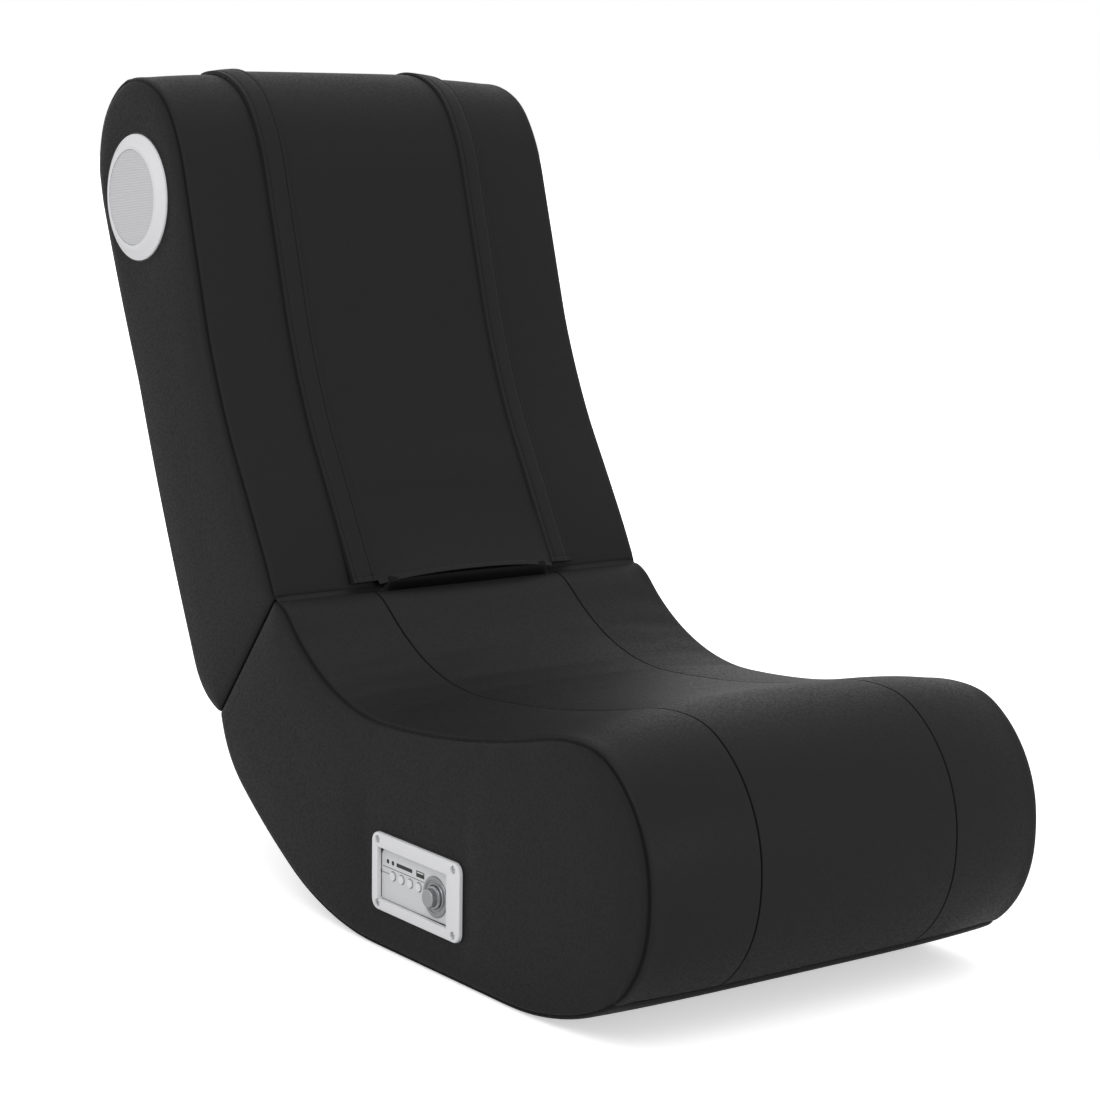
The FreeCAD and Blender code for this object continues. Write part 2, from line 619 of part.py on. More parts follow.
def leaf_screws(bench, side, clearance="0"):
    """Screws of both hinges on one side of the joint face, in the joint's own frame."""
    screws = []
    for x_sign in (-1, 1):
        for across in (-1, 0, 1):
            along = "derived.rail_start + dims.leaf_screw_margin"
            screw = bench.doc.addObject("Part::Cylinder", "Screw")
            screw.Placement = Placement(Vector(), Rotation(Vector(1, 0, 0), 0 if side > 0 else 180))
            bench.bind(screw, {
                "Placement.Base.x": f"{x_sign} * dims.hinge_x + {across} * dims.leaf_width / 3",
                "Placement.Base.y": f"{along} + {abs(across)} * dims.leaf_screw_pitch",
                "Placement.Base.z": f"{side} * (dims.leaf_gap / 2 + dims.leaf_thick / 2)",
                "Radius": f"dims.leaf_screw_radius + {clearance}",
                "Height": f"dims.leaf_screw_length + {clearance}"})
            head = bench.doc.addObject("Part::Cone", "ScrewHead")
            head.Placement = Placement(Vector(), Rotation(Vector(1, 0, 0), 0 if side > 0 else 180))
            bench.bind(head, {
                "Placement.Base.x": f"{x_sign} * dims.hinge_x + {across} * dims.leaf_width / 3",
                "Placement.Base.y": f"{along} + {abs(across)} * dims.leaf_screw_pitch",
                "Placement.Base.z": f"{side} * dims.leaf_gap / 2",
                "Radius1": f"derived.leaf_screw_head + {clearance}",
                "Radius2": f"dims.leaf_screw_radius + {clearance}",
                "Height": "dims.leaf_thick"})
            screws.append(bench.fuse([screw, head]))
    return screws


def knuckle(bench, x, length, radius):
    """Cylinder on the hinge axis, in the joint's own frame."""
    barrel = bench.doc.addObject("Part::Cylinder", "Knuckle")
    barrel.Placement = Placement(Vector(), Rotation(Vector(0, 1, 0), 90))
    bench.bind(barrel, {"Placement.Base.x": x, "Radius": radius, "Height": length})
    return barrel


def make_hinge_leaves(bench, label, side):
    """Leaves of both hinges on one side of the joint face."""
    leaves = []
    low = "-dims.leaf_gap / 2 - dims.leaf_thick" if side < 0 else "dims.leaf_gap / 2"
    outer_length = "(dims.leaf_width - dims.middle_knuckle) / 2 - dims.knuckle_gap"
    plate_start = "derived.knuckle_radius + 2 * dims.knuckle_gap"
    for x_sign in (-1, 1):
        middle = f"{x_sign} * dims.hinge_x"
        start = f"{middle} - dims.leaf_width / 2"
        plate = bench.box((start, plate_start, low),
                          ("dims.leaf_width", f"derived.rail_start + dims.leaf_grip - ({plate_start})",
                           "dims.leaf_thick"))
        if side > 0:
            spans = [(f"{middle} - dims.middle_knuckle / 2", "dims.middle_knuckle")]
        else:
            spans = [(start, outer_length),
                     (f"{middle} + dims.leaf_width / 2 - ({outer_length})", outer_length)]
        pieces = [plate]
        for x, length in spans:
            pieces.append(knuckle(bench, x, length, "derived.knuckle_radius"))
            pieces.append(bench.box((x, "0", low),
                                    (length, "2 * derived.knuckle_radius", "dims.leaf_thick")))
        bore = knuckle(bench, f"{start} - 1", "dims.leaf_width + 2",
                       "dims.pin_radius + dims.pin_clearance")
        leaves.append(bench.cut(bench.fuse(pieces), [bore]))
    holes = leaf_screws(bench, side, "dims.screw_clearance")
    drilled = bench.cut(bench.group(leaves), holes)
    drilled.Placement = bench.joint_placement
    return bench.node(label, drilled)


def make_hinges(bench):
    """Hinge leaves, pins and screws, and the two rails that carry them."""
    seat_reach = "derived.frame_half - dims.seat_side_thick - dims.fit_gap"
    back_reach = "derived.frame_half - dims.back_side_thick - dims.fit_gap"
    joint_rail(bench, "seat_rear_rail", -1, "dims.seat_rail_end", seat_reach, "dims.seat_rail_thick")
    joint_rail(bench, "back_bottom_rail", 1, "dims.back_rail_end", back_reach, "dims.back_rail_thick")
    make_hinge_leaves(bench, "hinge_seat_leaves", -1)
    make_hinge_leaves(bench, "hinge_back_leaves", 1)
    pins = []
    for x_sign in (-1, 1):
        start = f"{x_sign} * dims.hinge_x - dims.leaf_width / 2 - dims.fit_gap"
        length = "dims.leaf_width + 2 * dims.fit_gap"
        ends = (f"{start} - dims.pin_head_thick", f"{start} + {length}")
        heads = [knuckle(bench, end, "dims.pin_head_thick", "derived.pin_head_radius") for end in ends]
        pins.append(bench.fuse([knuckle(bench, start, length, "dims.pin_radius")] + heads))
    group = bench.group(pins)
    group.Placement = bench.joint_placement
    bench.node("hinge_pins", group)
    for label, side in (("hinge_seat_screws", -1), ("hinge_back_screws", 1)):
        screws = bench.group(leaf_screws(bench, side))
        screws.Placement = bench.joint_placement
        bench.node(label, screws)


def side_pad(sizes, outline, split, side):
    """Padded side cover: puffed face, drawn-in edge, tucked inside the top cover."""
    gap = sizes.fit_gap
    tuck = sizes.cover_thick + gap
    stations = ((sizes.frame_half + gap, tuck), (sizes.pad_shoulder_x, tuck),
                (sizes.pad_edge_x, sizes.pad_edge_inset), (sizes.pad_face_x, sizes.pad_face_inset))
    wires = []
    for x, inset in stations:
        joint = sizes.pad_joint_gap / 2 + inset - tuck
        first = outline.chain(0, split, inset, 0.0, joint)
        second = outline.chain(split, len(outline.corners) - 1, inset, 0.0, joint)
        wires.append(closed_wire([first, second], side * x))
    return Part.makeLoft(wires, True, True)


def make_seat_cushion(bench, sizes, seat):
    """Foam and covering of the seat."""
    gap = sizes.fit_gap
    span = (0, SEAT_TOE)
    half = sizes.frame_half
    foam = crowned_band(sizes, seat, span, sizes.cover_thick + gap, sizes.seat_foam_thick,
                        spread(-half, half, CUSHION_STATIONS), flat_inside=True)
    bench.node("seat_foam", bench.feature(foam))
    seam = sizes.seam_x
    panels = (("seat_cover_left", -sizes.half_width, -seam - gap / 2),
              ("seat_cover_centre", -seam + gap / 2, seam - gap / 2),
              ("seat_cover_right", seam + gap / 2, sizes.half_width))
    for label, low, high in panels:
        skin = crowned_band(sizes, seat, span, 0.0, sizes.cover_thick, spread(low, high, PANEL_STATIONS))
        bench.node(label, bench.feature(skin))
    under = band(seat, SEAT_TOE, SEAT_END, 0.0, sizes.cover_thick, sizes.soft_joint_inset,
                 -sizes.half_width, sizes.half_width)
    bench.node("seat_bottom_cover", bench.feature(under))
    for name, side in SIDES:
        pad = bench.feature(side_pad(sizes, seat, SEAT_TOE, side))
        holes = control_cutouts(bench, side) + screw_holes(bench, side)
        bench.node(f"seat_side_cover_{name}", cut_all(bench, pad, holes))


def make_back_frame(bench, sizes, back):
    """Plywood and fibre board parts of the back."""
    gap = sizes.fit_gap
    joint = sizes.soft_joint_inset
    foam = sizes.back_foam_thick
    deck_in = foam + gap + sizes.back_deck_thick
    rear_out = sizes.cover_thick + gap
    rear_in = rear_out + sizes.rear_panel_thick
    half = sizes.frame_half
    deck = band(back, BACK_TOP, BACK_END, foam + gap, deck_in, joint, -half, half)
    bench.node("back_deck", bench.feature(deck))
    rear = band(back, 0, BACK_TOP, rear_out, rear_in, joint, -half, half)
    bench.node("back_rear_panel", bench.feature(rear))
    front = back.chain(BACK_TOP, BACK_END, deck_in + gap, 0.0, joint)
    behind = back.chain(0, BACK_TOP, rear_in + gap, 0.0, joint)
    inner = half - sizes.back_side_thick
    for name, side in SIDES:
        x_low = min(side * half, side * inner)
        board = bench.feature(prism([behind, front], x_low, x_low + sizes.back_side_thick))
        hole = bench.rod(side, "derived.frame_half - dims.back_side_thick - 1", "derived.speaker_y",
                         "derived.speaker_z", "derived.driver_throat + dims.cover_hole_clearance",
                         "dims.back_side_thick + 2")
        bench.node(f"back_side_panel_{name}", bench.cut(board, [hole]))
    reach = "derived.frame_half - dims.back_side_thick - dims.fit_gap"
    top = ((f"-({reach})", "derived.top_rail_y", "derived.top_rail_z"),
           (f"2 * ({reach})", "dims.top_rail_wide", "dims.back_rail_thick"))
    bench.node("back_top_rail", bench.box(*top))
    brace = ((f"-({reach})", "derived.brace_y", "derived.brace_z"),
             (f"2 * ({reach})", "dims.brace_wide", "dims.back_rail_thick"))
    bench.node("back_middle_rail", bench.box(*brace))


def make_back_cushion(bench, sizes, back):
    """Foam, covering, removable panel, zips and flaps of the back."""
    gap = sizes.fit_gap
    span = (BACK_TOP, BACK_END)
    half = sizes.frame_half
    cover = sizes.cover_thick
    foam = crowned_band(sizes, back, span, cover + gap, sizes.back_foam_thick,
                        spread(-half, half, CUSHION_STATIONS), flat_inside=True)
    bench.node("back_foam", bench.feature(foam))
    skin = crowned_band(sizes, back, span, 0.0, cover,
                        spread(-sizes.half_width, sizes.half_width, CUSHION_STATIONS))
    bench.node("back_front_cover", bench.feature(skin))
    rear = band(back, 0, BACK_TOP, 0.0, cover, sizes.soft_joint_inset, -sizes.half_width, sizes.half_width)
    bench.node("back_rear_cover", bench.feature(rear))
    upper = (BACK_TOP, BACK_END - 1)
    zip_out = -gap - sizes.zip_thick
    panel_out = -gap - sizes.panel_thick
    edge = sizes.panel_half
    inner_edge = edge - 2 * sizes.zip_half
    panel = crowned_band(sizes, back, upper, panel_out, -gap, spread(-inner_edge, inner_edge,
                                                                    PANEL_STATIONS))
    bench.node("back_removable_panel", bench.feature(panel))
    flap_in = panel_out - gap
    tapes = []
    for name, side in SIDES:
        tape_low = inner_edge + gap
        tape = crowned_band(sizes, back, upper, zip_out, -gap,
                            [side * x for x in spread(tape_low, edge, STRIP_STATIONS)])
        tapes.append(bench.feature(tape))
        places = spread(sizes.flap_inner_x, sizes.flap_outer_x, STRIP_STATIONS)
        flap = crowned_band(sizes, back, upper, flap_in - sizes.flap_thick, flap_in,
                            [side * x for x in places])
        bench.node(f"back_flap_{name}", bench.feature(flap))
    bench.node("back_zips", bench.group(tapes))
    for name, side in SIDES:
        pad = bench.feature(side_pad(sizes, back, BACK_TOP, side))
        hole = bench.rod(side, "derived.frame_half - 1", "derived.speaker_y", "derived.speaker_z",
                         "derived.driver_radius + dims.cover_hole_clearance + dims.bezel_spigot_thick",
                         "derived.pad_face_x - derived.frame_half + 2")
        bench.node(f"back_side_cover_{name}", bench.cut(pad, [hole]))


def make_speaker(bench, name, side):
    """Bezel, grille and frame with magnet of one side's speaker; returns its cone."""
    y, z = "derived.speaker_y", "derived.speaker_z"
    seat_x = "derived.pad_face_x + dims.fit_gap"
    crest = "dims.bezel_rim + dims.bezel_rise"
    ledge = "dims.grille_radius - dims.grille_ledge"
    spigot = "derived.driver_radius + dims.bezel_spigot_thick"
    rim = bench.rod(side, seat_x, y, z, "derived.bezel_radius", "dims.bezel_rim")
    dome = bench.cone(side, f"{seat_x} + dims.bezel_rim", y, z,
                      ("derived.bezel_radius", "derived.bezel_crest_radius"), "dims.bezel_rise")
    collar = bench.rod(side, f"{seat_x} - dims.bezel_spigot_depth", y, z, spigot, "dims.bezel_spigot_depth")
    collar_bore = bench.rod(side, f"{seat_x} - dims.bezel_spigot_depth - 1", y, z,
                            "derived.driver_radius + dims.fit_gap / 2", "dims.bezel_spigot_depth + 1")
    through = bench.rod(side, f"{seat_x} - 1", y, z, ledge, f"{crest} + 2")
    grille_x = f"{seat_x} + {crest} - dims.grille_sink - dims.grille_thick"
    rebate = bench.rod(side, f"{grille_x} - dims.fit_gap", y, z,
                       "dims.grille_radius + dims.fit_gap", "dims.grille_thick + dims.grille_sink + 1")
    ring = bench.cut(bench.fuse([rim, dome, collar]), [collar_bore, through, rebate])
    bench.node(f"speaker_bezel_{name}", ring)
    grille = bench.rod(side, grille_x, y, z, "dims.grille_radius", "dims.grille_thick")
    bench.node(f"speaker_grille_{name}", grille)
    mouth = "derived.frame_half + dims.fit_gap"
    neck = f"{mouth} - dims.driver_depth"
    flange = bench.rod(side, mouth, y, z, "derived.driver_radius", "dims.driver_flange")
    basket = bench.cone(side, neck, y, z, ("dims.driver_neck", "derived.driver_throat"),
                        "dims.driver_depth")
    magnet = bench.rod(side, f"{neck} - dims.magnet_thick", y, z, "dims.magnet_radius",
                       "dims.magnet_thick")
    hollow = bench.cone(side, neck, y, z,
                        ("dims.driver_neck - dims.driver_wall", "derived.driver_throat - dims.driver_wall"),
                        "dims.driver_depth")
    open_mouth = bench.rod(side, mouth, y, z, "derived.driver_throat - dims.driver_wall",
                           "dims.driver_flange + 1")
    body = bench.cut(bench.fuse([flange, basket, magnet]), [hollow, open_mouth])
    bench.node(f"speaker_driver_{name}", body)
    rim_x = f"{mouth} + dims.driver_flange + dims.fit_gap"
    surround = bench.rod(side, rim_x, y, z, "derived.driver_radius - dims.driver_wall", "dims.cone_thick")
    radii = ("dims.cone_cap_radius", "derived.driver_throat - 3 * dims.driver_wall")
    paper = bench.cone(side, f"{rim_x} - dims.cone_depth", y, z, radii, "dims.cone_depth")
    dish = bench.cone(side, f"{rim_x} - dims.cone_depth + dims.cone_thick", y, z, radii, "dims.cone_depth")
    return bench.cut(bench.fuse([surround, paper]), [dish])


def control_cutouts(bench, side):
    """Opening for the amplifier case, on the left side only."""
    if side > 0:
        return []
    grow = "dims.tray_wall + dims.fit_gap"
    return [bench.box(("-(derived.pad_face_x + 1)", f"derived.window_y - dims.window_long / 2 - ({grow})",
                       f"derived.window_z - dims.window_tall / 2 - ({grow})"),
                      ("derived.pad_face_x - derived.frame_half + dims.seat_side_thick + 2",
                       f"dims.window_long + 2 * ({grow})", f"dims.window_tall + 2 * ({grow})"))]


def screw_places():
    """Expressions for the four faceplate screws."""
    places = []
    for y_sign in (-1, 1):
        for z_sign in (-1, 1):
            places.append((f"dims.plate_y + {y_sign} * derived.screw_span_y / 2",
                           f"dims.plate_z + {z_sign} * derived.screw_span_z / 2"))
    return places


HEAD_SEAT = "derived.plate_face - dims.screw_head_sink - dims.screw_head_thick"
TRAY_FLOOR = "derived.plate_face - dims.tray_depth"


def screw_holes(bench, side):
    """Pilot holes of the faceplate screws, on the left side only."""
    if side > 0:
        return []
    return [bench.rod(side, f"{HEAD_SEAT} - dims.screw_length - 1", y, z,
                      "dims.screw_radius + dims.screw_clearance", "dims.screw_length + 8")
            for y, z in screw_places()]


def make_faceplate(bench, sizes):
    """Moulded faceplate with its window and four counterbored screws."""
    y0, y1 = sizes.plate_y - sizes.plate_long / 2, sizes.plate_y + sizes.plate_long / 2
    z0, z1 = sizes.plate_z - sizes.plate_tall / 2, sizes.plate_z + sizes.plate_tall / 2
    corner = sizes.plate_corner
    slant = corner * (1 - math.sqrt(0.5))
    x = -(sizes.pad_face_x + sizes.fit_gap)
    turns = (((y0 + corner, z0), (y0 + slant, z0 + slant), (y0, z0 + corner)),
             ((y0, z1 - corner), (y0 + slant, z1 - slant), (y0 + corner, z1)),
             ((y1 - corner, z1), (y1 - slant, z1 - slant), (y1, z1 - corner)),
             ((y1, z0 + corner), (y1 - slant, z0 + slant), (y1 - corner, z0)))
    chains = [[flat(*point) for point in turn] for turn in turns]
    plate = bench.feature(prism(chains, x - sizes.plate_thick, x))
    window = bench.box(("-(derived.plate_face + 1)", "derived.window_y - dims.window_long / 2",
                        "derived.window_z - dims.window_tall / 2"),
                       ("dims.plate_thick + 2", "dims.window_long", "dims.window_tall"))
    tools = [window]
    screws = []
    for y, z in screw_places():
        clearance = "dims.screw_clearance"
        tools.append(bench.rod(-1, HEAD_SEAT, y, z, f"derived.screw_head_radius + {clearance}",
                               "dims.screw_head_thick + dims.screw_head_sink + 1"))
        tools.append(bench.rod(-1, f"{HEAD_SEAT} - dims.plate_thick", y, z,
                               f"dims.screw_radius + {clearance}", "dims.plate_thick + 1"))
        head = bench.rod(-1, HEAD_SEAT, y, z, "derived.screw_head_radius", "dims.screw_head_thick")
        shank = bench.rod(-1, f"{HEAD_SEAT} - dims.screw_length", y, z, "dims.screw_radius",
                          "dims.screw_length")
        screws.append(bench.fuse([head, shank]))
    bench.node("control_faceplate", bench.cut(plate, tools))
    bench.node("faceplate_screws", bench.group(screws))


def button_y(number):
    """Place of one button along the chair."""
    return f"derived.button_first_y - {number} * dims.button_pitch"


def make_control_tray(bench):
    """Recessed control floor with openings for the buttons, knob and sockets."""
    wall = "dims.tray_wall"
    outer = bench.box(("-derived.pad_face_x", f"derived.window_y - dims.window_long / 2 - {wall}",
                       f"derived.window_z - dims.window_tall / 2 - {wall}"),
                      (f"derived.pad_face_x - ({TRAY_FLOOR}) + dims.tray_floor",
                       f"dims.window_long + 2 * {wall}", f"dims.window_tall + 2 * {wall}"))
    pocket = bench.box(("-(derived.pad_face_x + 1)", "derived.window_y - dims.window_long / 2",
                        "derived.window_z - dims.window_tall / 2"),
                       (f"derived.pad_face_x + 1 - ({TRAY_FLOOR})", "dims.window_long", "dims.window_tall"))
    back = f"{TRAY_FLOOR} - dims.tray_floor - 1"
    deep = "dims.tray_floor + 2"
    tools = [pocket]
    for number in range(BUTTONS):
        tools.append(bench.rod(-1, back, button_y(number), "derived.button_row_z",
                               "dims.button_radius + dims.button_clearance", deep))
    tools.append(bench.rod(-1, back, "derived.knob_y", "derived.knob_z",
                           "dims.spindle_radius + dims.spindle_clearance", deep))
    for number in range(JACKS):
        tools.append(bench.rod(-1, back, f"derived.jack_first_y - {number} * dims.jack_pitch",
                               "derived.socket_row_z", "derived.jack_bore_radius", deep))
    tools.append(slot(bench, "card", back, deep))
    tools.append(slot(bench, "usb", back, deep))
    bench.node("control_tray", bench.cut(outer, tools))


def slot(bench, kind, back, deep):
    """Rectangular opening on the socket row."""
    return bench.box((f"-({back} + {deep})", f"derived.{kind}_y - dims.{kind}_long / 2",
                      f"derived.socket_row_z - dims.{kind}_tall / 2"),
                     (deep, f"dims.{kind}_long", f"dims.{kind}_tall"))


def make_sockets(bench):
    """Jacks, card socket and data socket behind the control floor."""
    behind = f"{TRAY_FLOOR} - dims.tray_floor - dims.fit_gap"
    jacks = []
    for number in range(JACKS):
        y = f"derived.jack_first_y - {number} * dims.jack_pitch"
        barrel = bench.rod(-1, f"{behind} - dims.jack_depth", y, "derived.socket_row_z",
                           "dims.jack_radius", "dims.jack_depth")
        bore = bench.rod(-1, f"{behind} - dims.jack_depth + 1", y, "derived.socket_row_z",
                         "derived.jack_bore_radius", "dims.jack_depth")
        jacks.append(bench.cut(barrel, [bore]))
    bench.node("audio_jacks", bench.group(jacks))
    kinds = (("card", "card_socket", "dims.card_body"), ("usb", "data_socket", "dims.usb_wall"))
    for kind, label, wall in kinds:
        depth = f"dims.{kind}_depth"
        shell = bench.box((f"-({behind})", f"derived.{kind}_y - dims.{kind}_long / 2 - {wall}",
                           f"derived.socket_row_z - dims.{kind}_tall / 2 - {wall}"),
                          (depth, f"dims.{kind}_long + 2 * {wall}", f"dims.{kind}_tall + 2 * {wall}"))
        mouth = bench.box((f"-({behind} + 1)", f"derived.{kind}_y - dims.{kind}_long / 2",
                           f"derived.socket_row_z - dims.{kind}_tall / 2"),
                          (f"{depth} + 1 - dims.usb_wall", f"dims.{kind}_long", f"dims.{kind}_tall"))
        socket = bench.cut(shell, [mouth])
        if kind == "usb":
            top = "derived.socket_row_z + dims.usb_tall / 2"
            tongue = bench.box((f"-({behind}) + dims.fit_gap",
                                "derived.usb_y - dims.usb_long / 2 + dims.usb_wall",
                                f"{top} - dims.usb_tongue - dims.fit_gap"),
                               (f"{depth} - dims.fit_gap", "dims.usb_long - 2 * dims.usb_wall",
                                "dims.usb_tongue"))
            socket = bench.fuse([socket, tongue])
        bench.node(label, socket)


def make_amplifier(bench):
    """Case, circuit board, push switches, volume control and transformer."""
    wall = "dims.tray_wall"
    mouth = f"{TRAY_FLOOR} - dims.tray_floor - dims.fit_gap"
    base = (f"-({mouth})", f"derived.window_y - dims.window_long / 2 - {wall}",
            f"derived.window_z - dims.window_tall / 2 - {wall}")
    size = ("dims.case_depth", f"dims.window_long + 2 * {wall}", f"dims.window_tall + 2 * {wall}")
    outer = bench.box(base, size)
    hollow = bench.box((f"-({mouth} + 1)", f"{base[1]} + dims.case_wall", f"{base[2]} + dims.case_wall"),
                       ("dims.case_depth + 1 - dims.case_wall", f"{size[1]} - 2 * dims.case_wall",
                        f"{size[2]} - 2 * dims.case_wall"))
    bench.node("amplifier_case", bench.cut(outer, [hollow]))
    board_face = f"{TRAY_FLOOR} - dims.tray_floor - dims.board_back"
    inner = "dims.case_wall + dims.fit_gap"
    board = bench.box((f"-({board_face})", f"{base[1]} + {inner}", f"{base[2]} + {inner}"),
                      ("dims.board_thick", f"{size[1]} - 2 * ({inner})", f"{size[2]} - 2 * ({inner})"))
    sockets = []
    for kind, around in (("card", "dims.card_body"), ("usb", "dims.usb_wall")):
        wide = f"dims.{kind}_long + 2 * {around}"
        tall = f"dims.{kind}_tall + 2 * {around}"
        sockets.append(bench.box((f"-({board_face} + 1)", f"derived.{kind}_y - ({wide}) / 2 - dims.fit_gap",
                                  f"derived.socket_row_z - ({tall}) / 2 - dims.fit_gap"),
                                 ("dims.board_thick + 2", f"{wide} + 2 * dims.fit_gap",
                                  f"{tall} + 2 * dims.fit_gap")))
    for number in range(JACKS):
        along = f"derived.jack_first_y - {number} * dims.jack_pitch"
        sockets.append(bench.rod(-1, f"{board_face} - dims.board_thick - 1", along, "derived.socket_row_z",
                                 "dims.jack_radius + dims.fit_gap", "dims.board_thick + 2"))
    knob = ("derived.knob_y", "derived.knob_z")
    sockets.append(bench.rod(-1, f"{board_face} - dims.board_thick - 1", *knob,
                             "dims.spindle_radius + dims.fit_gap", "dims.board_thick + 2"))
    bench.node("amplifier_board", bench.cut(board, sockets))
    switches = []
    for number in range(BUTTONS):
        switches.append(bench.box((f"-({board_face} + dims.fit_gap + dims.switch_thick)",
                                   f"{button_y(number)} - dims.switch_size / 2",
                                   "derived.button_row_z - dims.switch_size / 2"),
                                  ("dims.switch_thick", "dims.switch_size", "dims.switch_size")))
    bench.node("push_switches", bench.group(switches))
    control_back = f"{board_face} - dims.board_thick - dims.fit_gap"
    body = bench.box((f"-({control_back})", "derived.knob_y - dims.control_size / 2",
                      "derived.knob_z - dims.control_size / 2"),
                     ("dims.spindle_deep - dims.board_back", "dims.control_size", "dims.control_size"))
    spindle_end = f"{TRAY_FLOOR} - dims.tray_floor - dims.spindle_deep"
    socket = bench.rod(-1, f"{spindle_end} - dims.fit_gap", *knob,
                       "dims.spindle_radius + dims.spindle_clearance", "dims.spindle_deep")
    bench.node("volume_control", bench.cut(body, [socket]))
    floor = f"{base[2]} + {inner}"
    back_wall = f"-({mouth}) + dims.case_depth - dims.case_wall - dims.fit_gap - dims.transformer_deep"
    front_end = "derived.transformer_y - dims.transformer_long / 2"
    block = bench.box((back_wall, front_end, floor),
                      ("dims.transformer_deep", "dims.transformer_long", "dims.transformer_tall"))
    bench.node("power_transformer", block)


def make_controls(bench):
    """Buttons, dial ring and volume knob."""
    floor_back = f"{TRAY_FLOOR} - dims.tray_floor"
    switch_top = f"{floor_back} - dims.board_back + dims.fit_gap + dims.switch_thick"
    stem_end = f"{switch_top} + dims.button_travel + dims.fit_gap"
    for number in range(BUTTONS):
        place = (button_y(number), "derived.button_row_z")
        stem = bench.rod(-1, stem_end, *place, "dims.button_radius",
                         f"{TRAY_FLOOR} + dims.button_proud - ({stem_end})")
        flange = bench.rod(-1, f"{floor_back} - dims.fit_gap - dims.button_flange_thick", *place,
                           "dims.button_radius + dims.button_flange", "dims.button_flange_thick")
        bench.node(f"button_{number + 1}", bench.fuse([stem, flange]))
    knob = ("derived.knob_y", "derived.knob_z")
    ring = bench.rod(-1, TRAY_FLOOR, *knob, "derived.dial_radius", "dims.dial_thick")
    bore = bench.rod(-1, f"{TRAY_FLOOR} - 1", *knob, "derived.dial_bore_radius", "dims.dial_thick + 2")
    bench.node("volume_dial", bench.cut(ring, [bore]))
    start = f"{TRAY_FLOOR} + dims.fit_gap"
    skirt = bench.rod(-1, start, *knob, "derived.knob_skirt_radius", "dims.knob_skirt_thick")
    cap = bench.rod(-1, start, *knob, "dims.knob_radius", "dims.knob_tall - dims.fit_gap")
    spindle = bench.rod(-1, f"{floor_back} - dims.spindle_deep + dims.fit_gap", *knob,
                        "dims.spindle_radius", "dims.tray_floor + dims.spindle_deep + dims.fit_gap")
    bench.node("volume_knob", bench.fuse([skirt, cap, spindle]))


def check_and_export(doc, nodes):
    """Stops on any failed object, then writes one STEP file per sub-part."""
    for thing in doc.Objects:
        if "Invalid" in thing.State or "Error" in thing.State:
            raise RuntimeError(f"{thing.Label} failed: {thing.State}")
    for thing in nodes:
        if thing.Shape.isNull() or not thing.Shape.isValid() or thing.Shape.Volume <= 0:
            raise RuntimeError(f"{thing.Label} has no valid solid")
    os.makedirs("parts", exist_ok=True)
    for thing in nodes:
        thing.Shape.exportStep(os.path.join("parts", f"{thing.Label}.step"))
        print(f"{thing.Label}: {len(thing.Shape.Solids)} solids, {thing.Shape.Volume / 1000:.1f} cm3")


def main():
    """Builds the chair and writes its sub-parts."""
    doc = FreeCAD.newDocument("rocker_chair")
    sizes = Sizes(*make_sheets(doc))
    seat, back = make_outlines(sizes)
    bench = Bench(doc)
    turn = Rotation(Vector(1, 0, 0), -sizes.joint_angle)
    bench.joint_placement = Placement(flat(sizes.hinge_y, sizes.hinge_z), turn)
    make_seat_frame(bench, sizes, seat)
    make_seat_cushion(bench, sizes, seat)
    make_back_frame(bench, sizes, back)
    make_back_cushion(bench, sizes, back)
    make_hinges(bench)
    cones = [make_speaker(bench, name, side) for name, side in SIDES]
    bench.node("speaker_cones", bench.group(cones))
    make_faceplate(bench, sizes)
    make_control_tray(bench)
    make_sockets(bench)
    make_amplifier(bench)
    make_controls(bench)
    doc.recompute()
    check_and_export(doc, bench.nodes)


main()
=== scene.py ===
"""Looks of a folding floor rocker chair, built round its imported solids.

The chair is two upholstered shells that fold at the crease. All sizes are in metres in
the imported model's own frame: X across, the sitter faces -Y, Z up, the floor at zero.
"""
import logging
import math
from contextlib import contextmanager
from dataclasses import dataclass
from enum import Enum
from typing import Callable, Iterator, Optional, Sequence

import bpy
import numpy as np
from mathutils import Matrix, Vector


